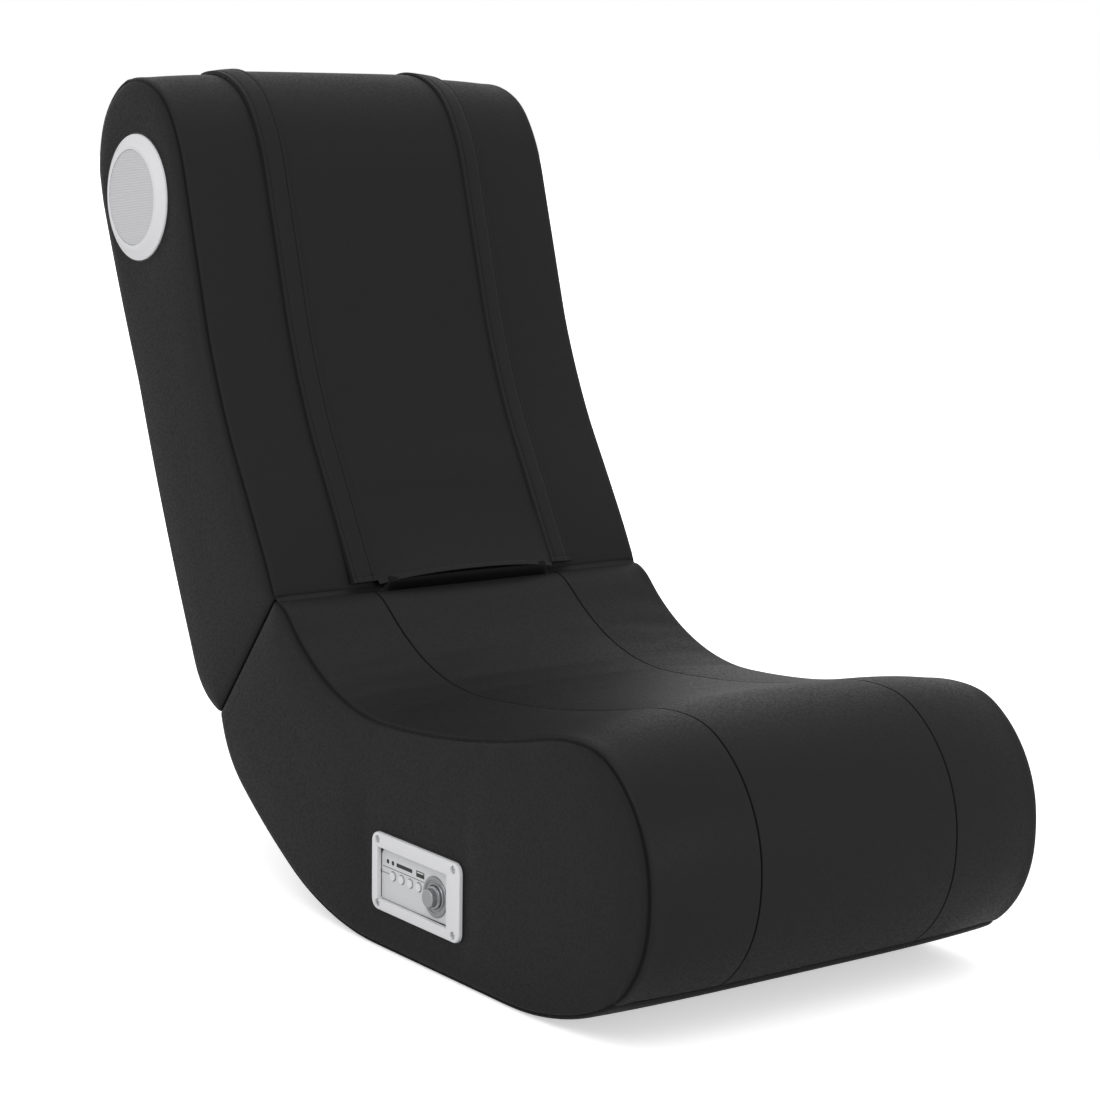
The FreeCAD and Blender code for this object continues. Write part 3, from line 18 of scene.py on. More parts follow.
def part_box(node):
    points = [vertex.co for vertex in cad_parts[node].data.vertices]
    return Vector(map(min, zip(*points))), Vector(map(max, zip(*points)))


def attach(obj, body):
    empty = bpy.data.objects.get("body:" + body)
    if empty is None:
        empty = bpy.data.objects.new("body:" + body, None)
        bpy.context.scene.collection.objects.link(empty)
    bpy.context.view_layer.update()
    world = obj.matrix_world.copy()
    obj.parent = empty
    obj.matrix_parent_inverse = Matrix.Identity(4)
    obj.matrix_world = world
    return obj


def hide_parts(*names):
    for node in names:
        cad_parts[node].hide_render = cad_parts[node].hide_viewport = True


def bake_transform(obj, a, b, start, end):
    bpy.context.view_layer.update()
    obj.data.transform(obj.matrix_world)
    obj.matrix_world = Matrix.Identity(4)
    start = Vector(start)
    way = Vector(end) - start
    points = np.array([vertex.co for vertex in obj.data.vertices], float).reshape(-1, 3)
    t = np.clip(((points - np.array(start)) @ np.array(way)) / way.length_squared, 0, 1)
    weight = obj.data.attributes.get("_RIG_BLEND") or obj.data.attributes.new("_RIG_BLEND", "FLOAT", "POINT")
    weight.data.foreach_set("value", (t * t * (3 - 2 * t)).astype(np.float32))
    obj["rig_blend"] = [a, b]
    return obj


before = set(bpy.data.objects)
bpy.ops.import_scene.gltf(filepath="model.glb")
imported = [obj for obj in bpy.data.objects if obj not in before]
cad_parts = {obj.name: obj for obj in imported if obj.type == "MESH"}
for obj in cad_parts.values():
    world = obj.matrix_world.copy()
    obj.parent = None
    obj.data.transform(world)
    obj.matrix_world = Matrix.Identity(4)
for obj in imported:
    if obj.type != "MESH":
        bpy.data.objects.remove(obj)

LOG = logging.getLogger("rocker_chair")
MM = 0.001
SEAM_SHADE_MARK = "seam"    # vertex attribute that paints shade into the leatherette at seams, hems and the web
Object = bpy.types.Object
Material = bpy.types.Material
Tree = bpy.types.NodeTree
Node = bpy.types.Node
Socket = bpy.types.NodeSocket
Array = np.ndarray
Section = tuple[tuple[float, float], ...]


class Side(Enum):
    """Side of the chair, by the sign of X."""

    LEFT = -1
    RIGHT = 1

    @property
    def word(self) -> str:
        """Side's name as the nodes spell it."""
        return self.name.lower()


# ---- Finishes ----


def linear(hex_colour: str) -> tuple[float, float, float, float]:
    """Turns an sRGB hex colour into linear values.

    Args:
        hex_colour: Six hex digits with a leading hash.

    Returns:
        Red, green, blue and an opaque alpha.
    """
    parts = [int(hex_colour[i:i + 2], 16) / 255 for i in (1, 3, 5)]
    values = [p / 12.92 if p <= 0.04045 else ((p + 0.055) / 1.055) ** 2.4 for p in parts]
    return values[0], values[1], values[2], 1.0


def add_node(tree: Tree, kind: str, inputs: Optional[dict] = None,
             **settings: object) -> Node:
    """Adds a node, sets it up and links it.

    Args:
        tree: Node tree to add to.
        kind: Node type.
        inputs: Input name or index to a value, or to the output socket to link.
        **settings: Properties of the node.

    Returns:
        The new node.
    """
    node = tree.nodes.new(kind)
    for name, value in settings.items():
        setattr(node, name, value)
    for name, value in (inputs or {}).items():
        if isinstance(value, Socket):
            tree.links.new(value, node.inputs[name])
        else:
            node.inputs[name].default_value = value
    return node


def noise(tree: Tree, place: Socket, size: float,
          detail: float) -> Node:
    """Adds noise whose lumps have a given size in metres."""
    return add_node(tree, "ShaderNodeTexNoise", {"Vector": place, "Scale": 1 / size, "Detail": detail})


def stripes(tree: Tree, place: Socket, pitch: float,
            direction: str) -> Socket:
    """Adds even waves of a given pitch in metres and gives their height."""
    wave = add_node(tree, "ShaderNodeTexWave", {"Vector": place, "Scale": 0.31 / pitch},
                    bands_direction=direction)
    return wave.outputs["Fac"]


def calculate(tree: Tree, operation: str, first: object, second: object) -> Socket:
    """Adds one sum of two values or sockets and gives its result."""
    return add_node(tree, "ShaderNodeMath", {0: first, 1: second}, operation=operation).outputs[0]


def relief(tree: Tree, height: Socket, deep: float) -> Socket:
    """Adds relief of a given depth in metres and gives its normal."""
    return add_node(tree, "ShaderNodeBump", {"Height": height, "Distance": deep}).outputs["Normal"]


def ranged(tree: Tree, value: Socket, low: float,
           high: float) -> Socket:
    """Spreads a value between 0 and 1 over a range."""
    return add_node(tree, "ShaderNodeMapRange",
                    {"Value": value, "To Min": low, "To Max": high}).outputs["Result"]


def two_colours(tree: Tree, share: Socket, first: str,
                second: str) -> Socket:
    """Mixes two sRGB hex colours by a share."""
    node = add_node(tree, "ShaderNodeMix", {"Factor": share, 6: linear(first), 7: linear(second)},
                    data_type="RGBA")
    return node.outputs[2]


def drive(tree: Tree, shader: Node, sockets: dict[str, Socket]) -> None:
    """Links outputs to a shader's named inputs."""
    for name, socket in sockets.items():
        tree.links.new(socket, shader.inputs[name])


@dataclass(frozen=True)
class Finish:
    """A surface: what it is called, its colours and how it takes the light."""

    name: str
    colour: str
    roughness: float = 0.5
    metallic: float = 0.0
    specular: float = 0.5

    def start(self) -> tuple[Material, Tree, Node, Socket]:
        """Makes the material with its shader's plain numbers set.

        Returns:
            Material, its tree, its shader and the object coordinates.
        """
        material = bpy.data.materials.new(self.name)
        material.use_nodes = True
        tree = material.node_tree
        shader = tree.nodes["Principled BSDF"]
        shader.inputs["Base Color"].default_value = linear(self.colour)
        shader.inputs["Roughness"].default_value = self.roughness
        shader.inputs["Metallic"].default_value = self.metallic
        shader.inputs["Specular IOR Level"].default_value = self.specular
        coordinates = add_node(tree, "ShaderNodeTexCoord").outputs["Object"]
        return material, tree, shader, coordinates

    def make(self) -> Material:
        """Builds the material."""
        raise NotImplementedError


@dataclass(frozen=True)
class Leatherette(Finish):
    """PVC leatherette, embossed in a roller press: small flat pebbles with fine valleys, with near-black
    painted shade mixed in where the seam attribute says.
    """

    # Near-black painted shade for seam valleys, hems and the web under the panel.
    painted_shade_colour: str = "#040404"
    pebble: float = 2.3 * MM     # the real grain of 1.2 mm is under a pixel, so it is drawn coarser
    pebble_relief: float = 0.1 * MM
    slack: float = 55 * MM       # slow unevenness of cloth over foam
    slack_relief: float = 0.5 * MM
    shinier: float = 0.05        # how much less rough a pebble's top is
    duller: float = 0.13         # how much rougher the valleys are

    def make(self) -> Material:
        """Builds the material."""
        material, tree, shader, place = self.start()
        bend = noise(tree, place, 3 * self.pebble, 2.0)
        shifted = add_node(tree, "ShaderNodeVectorMath",
                           {0: bend.outputs["Color"], 1: (self.pebble,) * 3}, operation="MULTIPLY")
        moved = add_node(tree, "ShaderNodeVectorMath", {0: place, 1: shifted.outputs[0]},
                         operation="ADD")
        voronoi = add_node(tree, "ShaderNodeTexVoronoi",
                           {"Vector": moved.outputs[0], "Scale": 1 / self.pebble,
                            "Smoothness": 0.6}, feature="SMOOTH_F1")
        valley = voronoi.outputs["Distance"]
        slow = relief(tree, noise(tree, place, self.slack, 1.0).outputs["Fac"], self.slack_relief)
        fine = add_node(tree, "ShaderNodeBump",
                        {"Height": valley, "Distance": self.pebble_relief, "Normal": slow},
                        invert=True)
        gloss = add_node(tree, "ShaderNodeMapRange",
                         {"Value": valley, "From Min": 0.1, "From Max": 0.7,
                          "To Min": self.roughness - self.shinier,
                          "To Max": self.roughness + self.duller})
        # Painted shade: the seam attribute mixes the near-black colour into the base colour.
        seam = add_node(tree, "ShaderNodeAttribute", attribute_name=SEAM_SHADE_MARK)
        colour = two_colours(tree, seam.outputs["Fac"], self.colour, self.painted_shade_colour)
        drive(tree, shader, {"Base Color": colour, "Roughness": gloss.outputs["Result"],
                             "Normal": fine.outputs["Normal"]})
        return material


@dataclass(frozen=True)
class Moulded(Finish):
    """Moulded plastic: even colour with a faint moulding texture."""

    texture: float = 1.6 * MM
    relief: float = 0.02 * MM

    def make(self) -> Material:
        """Builds the material."""
        material, tree, shader, place = self.start()
        skin = noise(tree, place, self.texture, 3.0).outputs["Fac"]
        gloss = ranged(tree, skin, self.roughness - 0.04, self.roughness + 0.06)
        drive(tree, shader, {"Roughness": gloss, "Normal": relief(tree, skin, self.relief)})
        return material


@dataclass(frozen=True)
class Woven(Finish):
    """Woven tape or cloth: crossed threads."""

    thread: float = 0.8 * MM
    relief: float = 0.15 * MM

    def make(self) -> Material:
        """Builds the material."""
        material, tree, shader, place = self.start()
        weave = calculate(tree, "MAXIMUM", stripes(tree, place, self.thread, "X"),
                          stripes(tree, place, self.thread, "Z"))
        drive(tree, shader, {"Normal": relief(tree, weave, self.relief)})
        return material


@dataclass(frozen=True)
class Timber(Finish):
    """Sanded plywood or pressed board: grain streaks along the chair."""

    dark: str = "#8f6d45"
    streak: float = 6 * MM
    stretch: float = 12.0
    relief: float = 0.1 * MM

    def make(self) -> Material:
        """Builds the material."""
        material, tree, shader, place = self.start()
        longer = add_node(tree, "ShaderNodeMapping",
                          {"Vector": place, "Scale": (1.0, 1 / self.stretch, 1.0)})
        grain = noise(tree, longer.outputs["Vector"], self.streak, 5.0).outputs["Fac"]
        ramp = add_node(tree, "ShaderNodeValToRGB", {"Fac": grain})
        ramp.color_ramp.elements[0].color = linear(self.dark)
        ramp.color_ramp.elements[1].color = linear(self.colour)
        drive(tree, shader, {"Base Color": ramp.outputs["Color"],
                             "Normal": relief(tree, grain, self.relief)})
        return material


@dataclass(frozen=True)
class Metal(Finish):
    """Rolled or plated metal with fine brushing."""

    brush: float = 0.5 * MM
    drawn: float = 20.0          # how much longer than wide the brushed lines are
    relief: float = 0.01 * MM

    def make(self) -> Material:
        """Builds the material."""
        material, tree, shader, place = self.start()
        longer = add_node(tree, "ShaderNodeMapping",
                          {"Vector": place, "Scale": (1.0, 1 / self.drawn, 1.0)})
        lines = noise(tree, longer.outputs["Vector"], self.brush, 2.0).outputs["Fac"]
        gloss = ranged(tree, lines, self.roughness - 0.08, self.roughness + 0.1)
        drive(tree, shader, {"Roughness": gloss, "Normal": relief(tree, lines, self.relief)})
        return material


@dataclass(frozen=True)
class WireMesh(Finish):
    """Fine silver wire mesh over a speaker: light wires with small dark gaps."""

    gap_colour: str = "#98989b"
    pitch: float = 1.5 * MM      # the real 1 mm pitch is under a pixel, so it is drawn coarser
    relief: float = 0.2 * MM

    def make(self) -> Material:
        """Builds the material."""
        material, tree, shader, place = self.start()
        mesh = calculate(tree, "MAXIMUM", stripes(tree, place, self.pitch, "Y"),
                         stripes(tree, place, self.pitch, "Z"))
        drive(tree, shader, {"Base Color": two_colours(tree, mesh, self.gap_colour, self.colour),
                             "Normal": relief(tree, mesh, self.relief)})
        return material


# Embossed PVC leatherette: near black, satin, its grain shows only where light grazes it.
LEATHERETTE = Leatherette("pvc_leatherette_embossed", "#1b1b1c", roughness=0.45, specular=0.09)
# Injection-moulded ABS with a satin silver-white paint.
SILVER_ABS = Moulded("abs_painted_silver_white", "#d2d2d4", roughness=0.38, specular=0.5)
# The recessed floor is the same moulding, a little darker in paint.
TRAY_ABS = Moulded("abs_painted_light_grey", "#c4c5c7", roughness=0.42, specular=0.5)
# Dark grey strips and rings on the tray: painted shade of the moulding's parting lines and of the gaps round
# the buttons.
LINE_SHADE_ABS = Moulded("abs_parting_line_shade_grey", "#4c4d50", roughness=0.6)
# Powder-coated steel wire mesh.
GRILLE = WireMesh("steel_mesh_silver", "#cbcbcd", roughness=0.5, metallic=0.0)
# Chrome-plated ABS, softly brushed on its turned faces.
PLATED = Metal("abs_chrome_plated", "#8d8e90", roughness=0.32, metallic=0.9)
# The knob's plating is a little brighter than its dial.
KNOB_METAL = Metal("abs_satin_chrome", "#9b9c9e", roughness=0.35, metallic=0.9)
# Zinc-plated rolled steel.
ZINC = Metal("steel_zinc_plated", "#b9bbbd", roughness=0.4, metallic=1.0)
# Tin-plated steel of the sockets' shells.
TIN = Metal("steel_tin_plated", "#a9aaac", roughness=0.35, metallic=1.0)
# Black enamelled steel of the speaker frames and the transformer.
ENAMEL = Moulded("steel_black_enamel", "#141415", roughness=0.4)
# Black ABS as moulded.
BLACK_ABS = Moulded("abs_black_moulded", "#101011", roughness=0.55)
# Pressed paper cone.
PAPER = Moulded("paper_pressed_black", "#1a1a1b", roughness=0.9, texture=0.8 * MM, relief=0.15 * MM)
# Glass-fibre board with green solder resist.
RESIST = Moulded("glass_fibre_solder_resist", "#1d5a33", roughness=0.35)
# Open-cell polyurethane foam.
FOAM = Moulded("polyurethane_foam_open_cell", "#d9d4bd", roughness=0.95, texture=1.5 * MM,
               relief=0.4 * MM)
# Sanded birch plywood.
PLYWOOD = Timber("birch_plywood_sanded", "#c9a877", roughness=0.6)
# Pressed fibre board with a smooth brown face.
FIBRE = Timber("fibre_board_pressed", "#6f5238", roughness=0.7, dark="#5a412b",
               streak=2.5 * MM, stretch=1.5)
# Woven polyester tape of the zips.
TAPE = Woven("polyester_tape_woven", "#121213", roughness=0.8)
# Black polyester knit of the linings at the joint: near black and without shine, as painted shade for the
# gap at the crease.
GAP_SHADE_KNIT = Woven("polyester_knit_gap_shade", "#060606", roughness=1.0, specular=0.0, thread=1.0 * MM)


class Paints:
    """Materials that are made once and shared."""

    def __init__(self) -> None:
        self._made: dict[str, Material] = {}

    def dress(self, piece: Object, finish: Finish) -> Object:
        """Gives a piece one finish all over.

        Args:
            piece: Object to dress.
            finish: Its surface.

        Returns:
            The same object.
        """
        if finish.name not in self._made:
            self._made[finish.name] = finish.make()
        slots = piece.data.materials
        if len(slots) == 0:
            slots.append(self._made[finish.name])
        for index in range(len(slots)):
            slots[index] = self._made[finish.name]
        return piece


PAINTS = Paints()


# ---- Modelling helpers ----


def deselect() -> None:
    """Leaves nothing selected."""
    bpy.ops.object.select_all(action="DESELECT")


def activate(piece: Object) -> None:
    """Makes a piece the only selected and the active object."""
    deselect()
    piece.select_set(True)
    bpy.context.view_layer.objects.active = piece


@contextmanager
def editing(piece: Object, kind: str = "VERT") -> Iterator[None]:
    """Edit mode on a piece, with the given selection mode."""
    activate(piece)
    modes = tuple(kind == mode for mode in ("VERT", "EDGE", "FACE"))
    bpy.context.tool_settings.mesh_select_mode = modes
    bpy.ops.object.mode_set(mode="EDIT")
    try:
        yield
    finally:
        bpy.ops.object.mode_set(mode="OBJECT")


def places(piece: Object) -> Array:
    """Vertex positions as an array of rows."""
    data = np.empty(len(piece.data.vertices) * 3)
    piece.data.vertices.foreach_get("co", data)
    return data.reshape(-1, 3)


def put(piece: Object, data: Array) -> None:
    """Writes vertex positions back."""
    piece.data.vertices.foreach_set("co", np.ascontiguousarray(data, float).ravel())
    piece.data.update()


def pick(piece: Object, mask: Array, kind: str = "VERT") -> None:
    """Selects elements in object mode, for the next edit.

    Args:
        piece: Mesh object, in object mode.
        mask: True for each element to select.
        kind: VERT, EDGE or FACE.
    """
    mesh = piece.data
    for layer in (mesh.vertices, mesh.edges, mesh.polygons):
        layer.foreach_set("select", np.zeros(len(layer), bool))
    layer = {"VERT": mesh.vertices, "EDGE": mesh.edges, "FACE": mesh.polygons}[kind]
    layer.foreach_set("select", np.asarray(mask, bool))
    mesh.update()


def edge_ends(piece: Object) -> Array:
    """Vertex indices of each edge."""
    data = np.empty(len(piece.data.edges) * 2, int)
    piece.data.edges.foreach_get("vertices", data)
    return data.reshape(-1, 2)


def finish_with(piece: Object, kind: str, **settings: object) -> None:
    """Adds a modifier and applies it.

    Args:
        piece: Object to change.
        kind: Modifier type.
        **settings: Properties of the modifier.
    """
    modifier = piece.modifiers.new(kind.title(), kind)
    for name, value in settings.items():
        setattr(modifier, name, value)
    activate(piece)
    bpy.ops.object.modifier_apply(modifier=modifier.name)


def smooth(piece: Object, degrees: float = 40.0) -> None:
    """Smooth shading but for edges sharper than an angle."""
    activate(piece)
    bpy.ops.object.shade_smooth_by_angle(angle=math.radians(degrees))


def flip(piece: Object) -> None:
    """Turns every face over."""
    pick(piece, np.ones(len(piece.data.polygons), bool), "FACE")
    with editing(piece, "FACE"):
        bpy.ops.mesh.flip_normals()


def grid(name: str, columns: int, rows: int, place: Callable[[Array, Array], Array]) -> Object:
    """Sheet of quads with each vertex put in place.

    Args:
        name: Object name.
        columns: Vertices along the first direction.
        rows: Vertices along the second direction.
        place: Takes arrays of column and row numbers and gives positions.

    Returns:
        The sheet.
    """
    bpy.ops.mesh.primitive_grid_add(x_subdivisions=columns - 1, y_subdivisions=rows - 1, size=1.0)
    piece = bpy.context.active_object
    piece.name = name
    data = places(piece)
    column = np.rint((data[:, 0] + 0.5) * (columns - 1)).astype(int)
    row = np.rint((data[:, 1] + 0.5) * (rows - 1)).astype(int)
    put(piece, place(column, row))
    return piece


def drop_faces(piece: Object, mask: Array) -> None:
    """Deletes faces."""
    pick(piece, mask, "FACE")
    with editing(piece, "FACE"):
        bpy.ops.mesh.delete(type="FACE")


def face_centres(piece: Object) -> Array:
    """Centre of each face."""
    data = np.empty(len(piece.data.polygons) * 3)
    piece.data.polygons.foreach_get("center", data)
    return data.reshape(-1, 3)


def mark(piece: Object, values: Array) -> None:
    """Writes how much painted shade darkens the leatherette at each vertex."""
    attributes = piece.data.attributes
    attribute = attributes.get(SEAM_SHADE_MARK) or attributes.new(SEAM_SHADE_MARK, "FLOAT", "POINT")
    attribute.data.foreach_set("value", values.astype(np.float32))


def groove(off: Array, deep: float, wide: float) -> Array:
    """Depth of a soft groove at distances from its middle."""
    return deep * np.exp(-(off / wide) ** 2)


def refine(piece: Object) -> None:
    """Subdivides a sheet once and rounds it."""
    finish_with(piece, "SUBSURF", levels=1, render_levels=1)


def thicken(piece: Object, cover: float, degrees: float) -> None:
    """Gives a sheet its thickness and shades it smooth.

    Args:
        piece: Open sheet with its faces outwards.
        cover: Thickness, laid inwards.
        degrees: Angle up to which edges are shaded smooth.
    """
    finish_with(piece, "SOLIDIFY", thickness=cover, offset=-1.0)
    smooth(piece, degrees)


def cut(piece: Object, cutter: Object) -> None:
    """Takes a cutter's space out of a piece and removes the cutter."""
    finish_with(piece, "BOOLEAN", object=cutter, operation="DIFFERENCE", solver="EXACT")
    bpy.data.objects.remove(cutter)


def box_middle(node: str, x: float) -> Vector:
    """Point at a given X on the line across through the middle of a solid's box."""
    low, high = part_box(node)
    return Vector((x, (low.y + high.y) / 2, (low.z + high.z) / 2))


def puff(piece: Object, held: Array, cap: float, depth: float = 12 * MM, frames: int = 20) -> None:
    """Swells an open sheet like covered foam, by a short cloth simulation.

    Args:
        piece: Open sheet with its faces outwards.
        held: True for each vertex that its seams hold.
        cap: Most that a point may move.
        depth: Depth of the closed pad that is simulated.
        frames: Length of the simulation.
    """
    count = len(piece.data.vertices)
    rest = places(piece)
    finish_with(piece, "SOLIDIFY", thickness=depth, offset=-1.0)
    group = piece.vertex_groups.new(name="held")
    fixed = np.ones(len(piece.data.vertices), bool)
    fixed[:count] = held
    group.add([int(i) for i in np.nonzero(fixed)[0]], 1.0, "REPLACE")
    modifier = piece.modifiers.new("Cloth", "CLOTH")
    settings = modifier.settings
    settings.quality = 4
    settings.use_pressure = True
    settings.uniform_pressure_force = 4.0
    settings.vertex_group_mass = "held"
    settings.effector_weights.gravity = 0.0
    modifier.point_cache.frame_start = 1
    modifier.point_cache.frame_end = frames
    scene = bpy.context.scene
    for number in range(1, frames + 1):
        scene.frame_set(number)
    activate(piece)
    bpy.ops.object.modifier_apply(modifier=modifier.name)
    scene.frame_set(1)
    data = places(piece)
    moved = data[:count] - rest
    length = np.maximum(np.linalg.norm(moved, axis=1), 1e-9)
    data[:count] = rest + moved * (cap * np.tanh(length / cap) / length)[:, None]
    put(piece, data)
    mask = np.zeros(len(data), bool)
    mask[count:] = True
    pick(piece, mask)
    with editing(piece):
        bpy.ops.mesh.delete(type="VERT")
    piece.vertex_groups.clear()
    LOG.info("%s swelled by %.1f mm at most", piece.name, length.max() / MM)


def keep(piece: Object, body: str, slot: str, finish: Finish, *nodes: str) -> Object:
    """Dresses a finished piece, seats it on its body and lets it stand for its nodes.

    Args:
        piece: Finished object.
        body: Body that it rides on.
        slot: Material slot of the record; not used.
        finish: Its surface.
        *nodes: Solids that it stands for.

    Returns:
        The same object.
    """
    PAINTS.dress(piece, finish)
    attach(piece, body)
    if nodes:
        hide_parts(*nodes)
    LOG.info("%s: %d faces on %s", piece.name, len(piece.data.polygons), body)
    return piece


def lathe(name: str, ring: Sequence[tuple[float, float]], centre: Vector, outward: float,
          steps: int = 96) -> Object:
    """Turned piece about an axis along X.

    Args:
        name: Object name.
        ring: Closed section in mm, as radius and distance outward from the centre.
        centre: Point on the axis.
        outward: Sign of X that points outward.
        steps: Faces round the axis.

    Returns:
        The turned piece.
    """
    bpy.ops.mesh.primitive_circle_add(vertices=len(ring), radius=1.0, fill_type="NOTHING")
    piece = bpy.context.active_object
    piece.name = name
    put(piece, np.array([(centre.x + outward * (h * MM), centre.y, centre.z + r * MM)
                         for r, h in ring]))
    pick(piece, np.ones(len(piece.data.vertices), bool))
    with editing(piece):
        bpy.ops.mesh.spin(steps=steps, angle=math.tau, center=centre, axis=(1, 0, 0))
        bpy.ops.mesh.select_all(action="SELECT")
        bpy.ops.mesh.remove_doubles(threshold=1e-6)
        bpy.ops.mesh.normals_make_consistent(inside=False)
    return piece


# ---- Outlines of the shells ----


@dataclass(frozen=True)
class Corner:
    """Corner of a side outline in mm: place, bulge of the arc after it, crown at mid width."""

    name: str
    y: float
    z: float
    bulge: float
    crown: float


@dataclass(frozen=True)
class Joint:
    """Joint face between the shells, through the hinge axis."""

    y: float = 109 * MM
    z: float = 284 * MM
    slope: float = math.radians(50.5)

    @property
    def along(self) -> Array:
        """Direction down the face."""
        return np.array((math.cos(self.slope), -math.sin(self.slope)))

    @property
    def to_back(self) -> Array:
        """Direction across the face towards the back."""
        return np.array((math.sin(self.slope), math.cos(self.slope)))

    def point(self, reach: float, across: float = 0.0) -> Array:
        """Point of the side view at a distance from the axis, and off the face."""
        return np.array((self.y, self.z)) + self.along * reach + self.to_back * across


JOINT = Joint()
CREASE = JOINT.point(6 * MM) / MM
HEEL = JOINT.point(169 * MM) / MM
SEAT_CORNERS = (
    Corner("crease", CREASE[0], CREASE[1], 4.3, 0), Corner("lip", 84, 261, -15.3, 7),
    Corner("well", -62, 201, -6.6, 12), Corner("rise", -294, 233, 4.3, 12),
    Corner("roll", -372, 237, 20.1, 12), Corner("nose", -439, 129, 12.9, 10),
    Corner("toe", -395, 38, 9.2, 3), Corner("foot", -255, 0, 0, 0), Corner("stand", -40, 0, 5.4, 0),
    Corner("sweep", 74, 27, 2.7, 0), Corner("rump", 179, 94, 6.2, 0),
    Corner("heel", HEEL[0], HEEL[1], 0, 0),
)
BACK_CORNERS = (
    Corner("heel", HEEL[0], HEEL[1], 9.6, 0), Corner("loin", 269, 200, 3.6, 0),
    Corner("spine", 373, 449, 2.0, 0), Corner("nape", 448, 631, 4.0, 0),
    Corner("crown", 445, 692, 8.0, 0), Corner("top", 391, 740, 8.9, 6),
    Corner("brow", 312, 720, 5.1, 7), Corner("cheek", 274, 647, 0.1, 6),
    Corner("chest", 234, 512, -2.3, 6), Corner("waist", 187, 407, 0.4, 4),
    Corner("small", 130, 312, 0, 2),
    Corner("crease", CREASE[0], CREASE[1], 0, 0),
)


class Profile:
    """Side outline of one shell, sampled evenly and eased where its arcs meet."""

    step = 2 * MM
    ease = 9 * MM

    def __init__(self, corners: Sequence[Corner]) -> None:
        points: list[Array] = []
        crowns: list[float] = []
        starts = [0]
        for here, after in zip(corners, corners[1:]):
            arc = self._arc(here, after)
            points += arc
            crowns += [here.crown + (after.crown - here.crown) * k / len(arc) for k in range(len(arc))]
            starts.append(len(points))
        points.append(np.array((corners[-1].y, corners[-1].z)))
        crowns.append(corners[-1].crown)
        line = np.array(points) * MM
        far = np.concatenate(([0.0], np.cumsum(np.linalg.norm(np.diff(line, axis=0), axis=1))))
        self.marks = {corner.name: float(far[i]) for corner, i in zip(corners, starts)}
        self.s = np.linspace(0, far[-1], int(far[-1] / self.step) + 1)
        self.length = float(far[-1])
        self.line = np.column_stack([self._eased(np.interp(self.s, far, line[:, k])) for k in (0, 1)])
        self.crown = self._eased(np.interp(self.s, far, np.array(crowns) * MM), 3.0)
        slope = np.gradient(self.line, self.s, axis=0)
        slope /= np.linalg.norm(slope, axis=1)[:, None]
        self.normal = np.column_stack((slope[:, 1], -slope[:, 0]))

    @staticmethod
    def _arc(here: Corner, after: Corner) -> list[Array]:
        """Points of one arc, without its last."""
        a, b = np.array((here.y, here.z)), np.array((after.y, after.z))
        chord = b - a
        size = float(np.linalg.norm(chord))
        out = np.array((chord[1], -chord[0])) / size
        count = max(4, int(size / 2))
        if abs(here.bulge) < 1e-6:
            return [a + chord * k / count for k in range(count)]
        half = 2 * math.atan(2 * here.bulge / size)
        radius = size / (2 * math.sin(half))
        result = []
        for k in range(count):
            angle = half * (2 * k / count - 1)
            run = radius * math.sin(angle) + size / 2
            rise = radius * (math.cos(angle) - math.cos(half))
            result.append(a + chord / size * run + out * rise)
        return result

    def _eased(self, values: Array, wider: float = 1.0) -> Array:
        """Values averaged along the outline, with both ends kept."""
        reach = int(3 * self.ease * wider / self.step)
        weights = np.exp(-0.5 * (np.arange(-reach, reach + 1) * self.step / (self.ease * wider)) ** 2)
        weights /= weights.sum()
        before = 2 * values[0] - values[reach:0:-1]
        after = 2 * values[-1] - values[-2:-reach - 2:-1]
        return np.convolve(np.concatenate((before, values, after)), weights, "valid")

    def at(self, s: Array, lift: Array) -> Array:
        """Points of the side view at distances along the outline, moved out by lift."""
        base = np.column_stack([np.interp(s, self.s, self.line[:, k]) for k in (0, 1)])
        out = np.column_stack([np.interp(s, self.s, self.normal[:, k]) for k in (0, 1)])
        return base + out * np.asarray(lift)[:, None]

    def crown_at(self, s: Array) -> Array:
        """Crown at mid width, at distances along the outline."""
        return np.interp(s, self.s, self.crown)


SEAT = Profile(SEAT_CORNERS)
BACK = Profile(BACK_CORNERS)
HALF_WIDTH = 205 * MM
CROWN_POWER = 4.0


def spaced(low: float, high: float, pitch: float, edge: Sequence[float] = ()) -> Array:
    """Stations between two limits, closer together at both ends.

    Args:
        low: First station.
        high: Last station.
        pitch: Spacing in the middle.
        edge: Distances of extra stations from each end.

    Returns:
        Rising stations.
    """
    inner = edge[-1] if edge else 0.0
    count = max(2, round((high - low - 2 * inner) / pitch) + 1)
    middle = np.linspace(low + inner, high - inner, count)
    near = [low + e for e in (0.0, *edge[:-1])] if edge else []
    far = [high - e for e in (*edge[:-1][::-1], 0.0)] if edge else []
    return np.concatenate((near, middle, far))


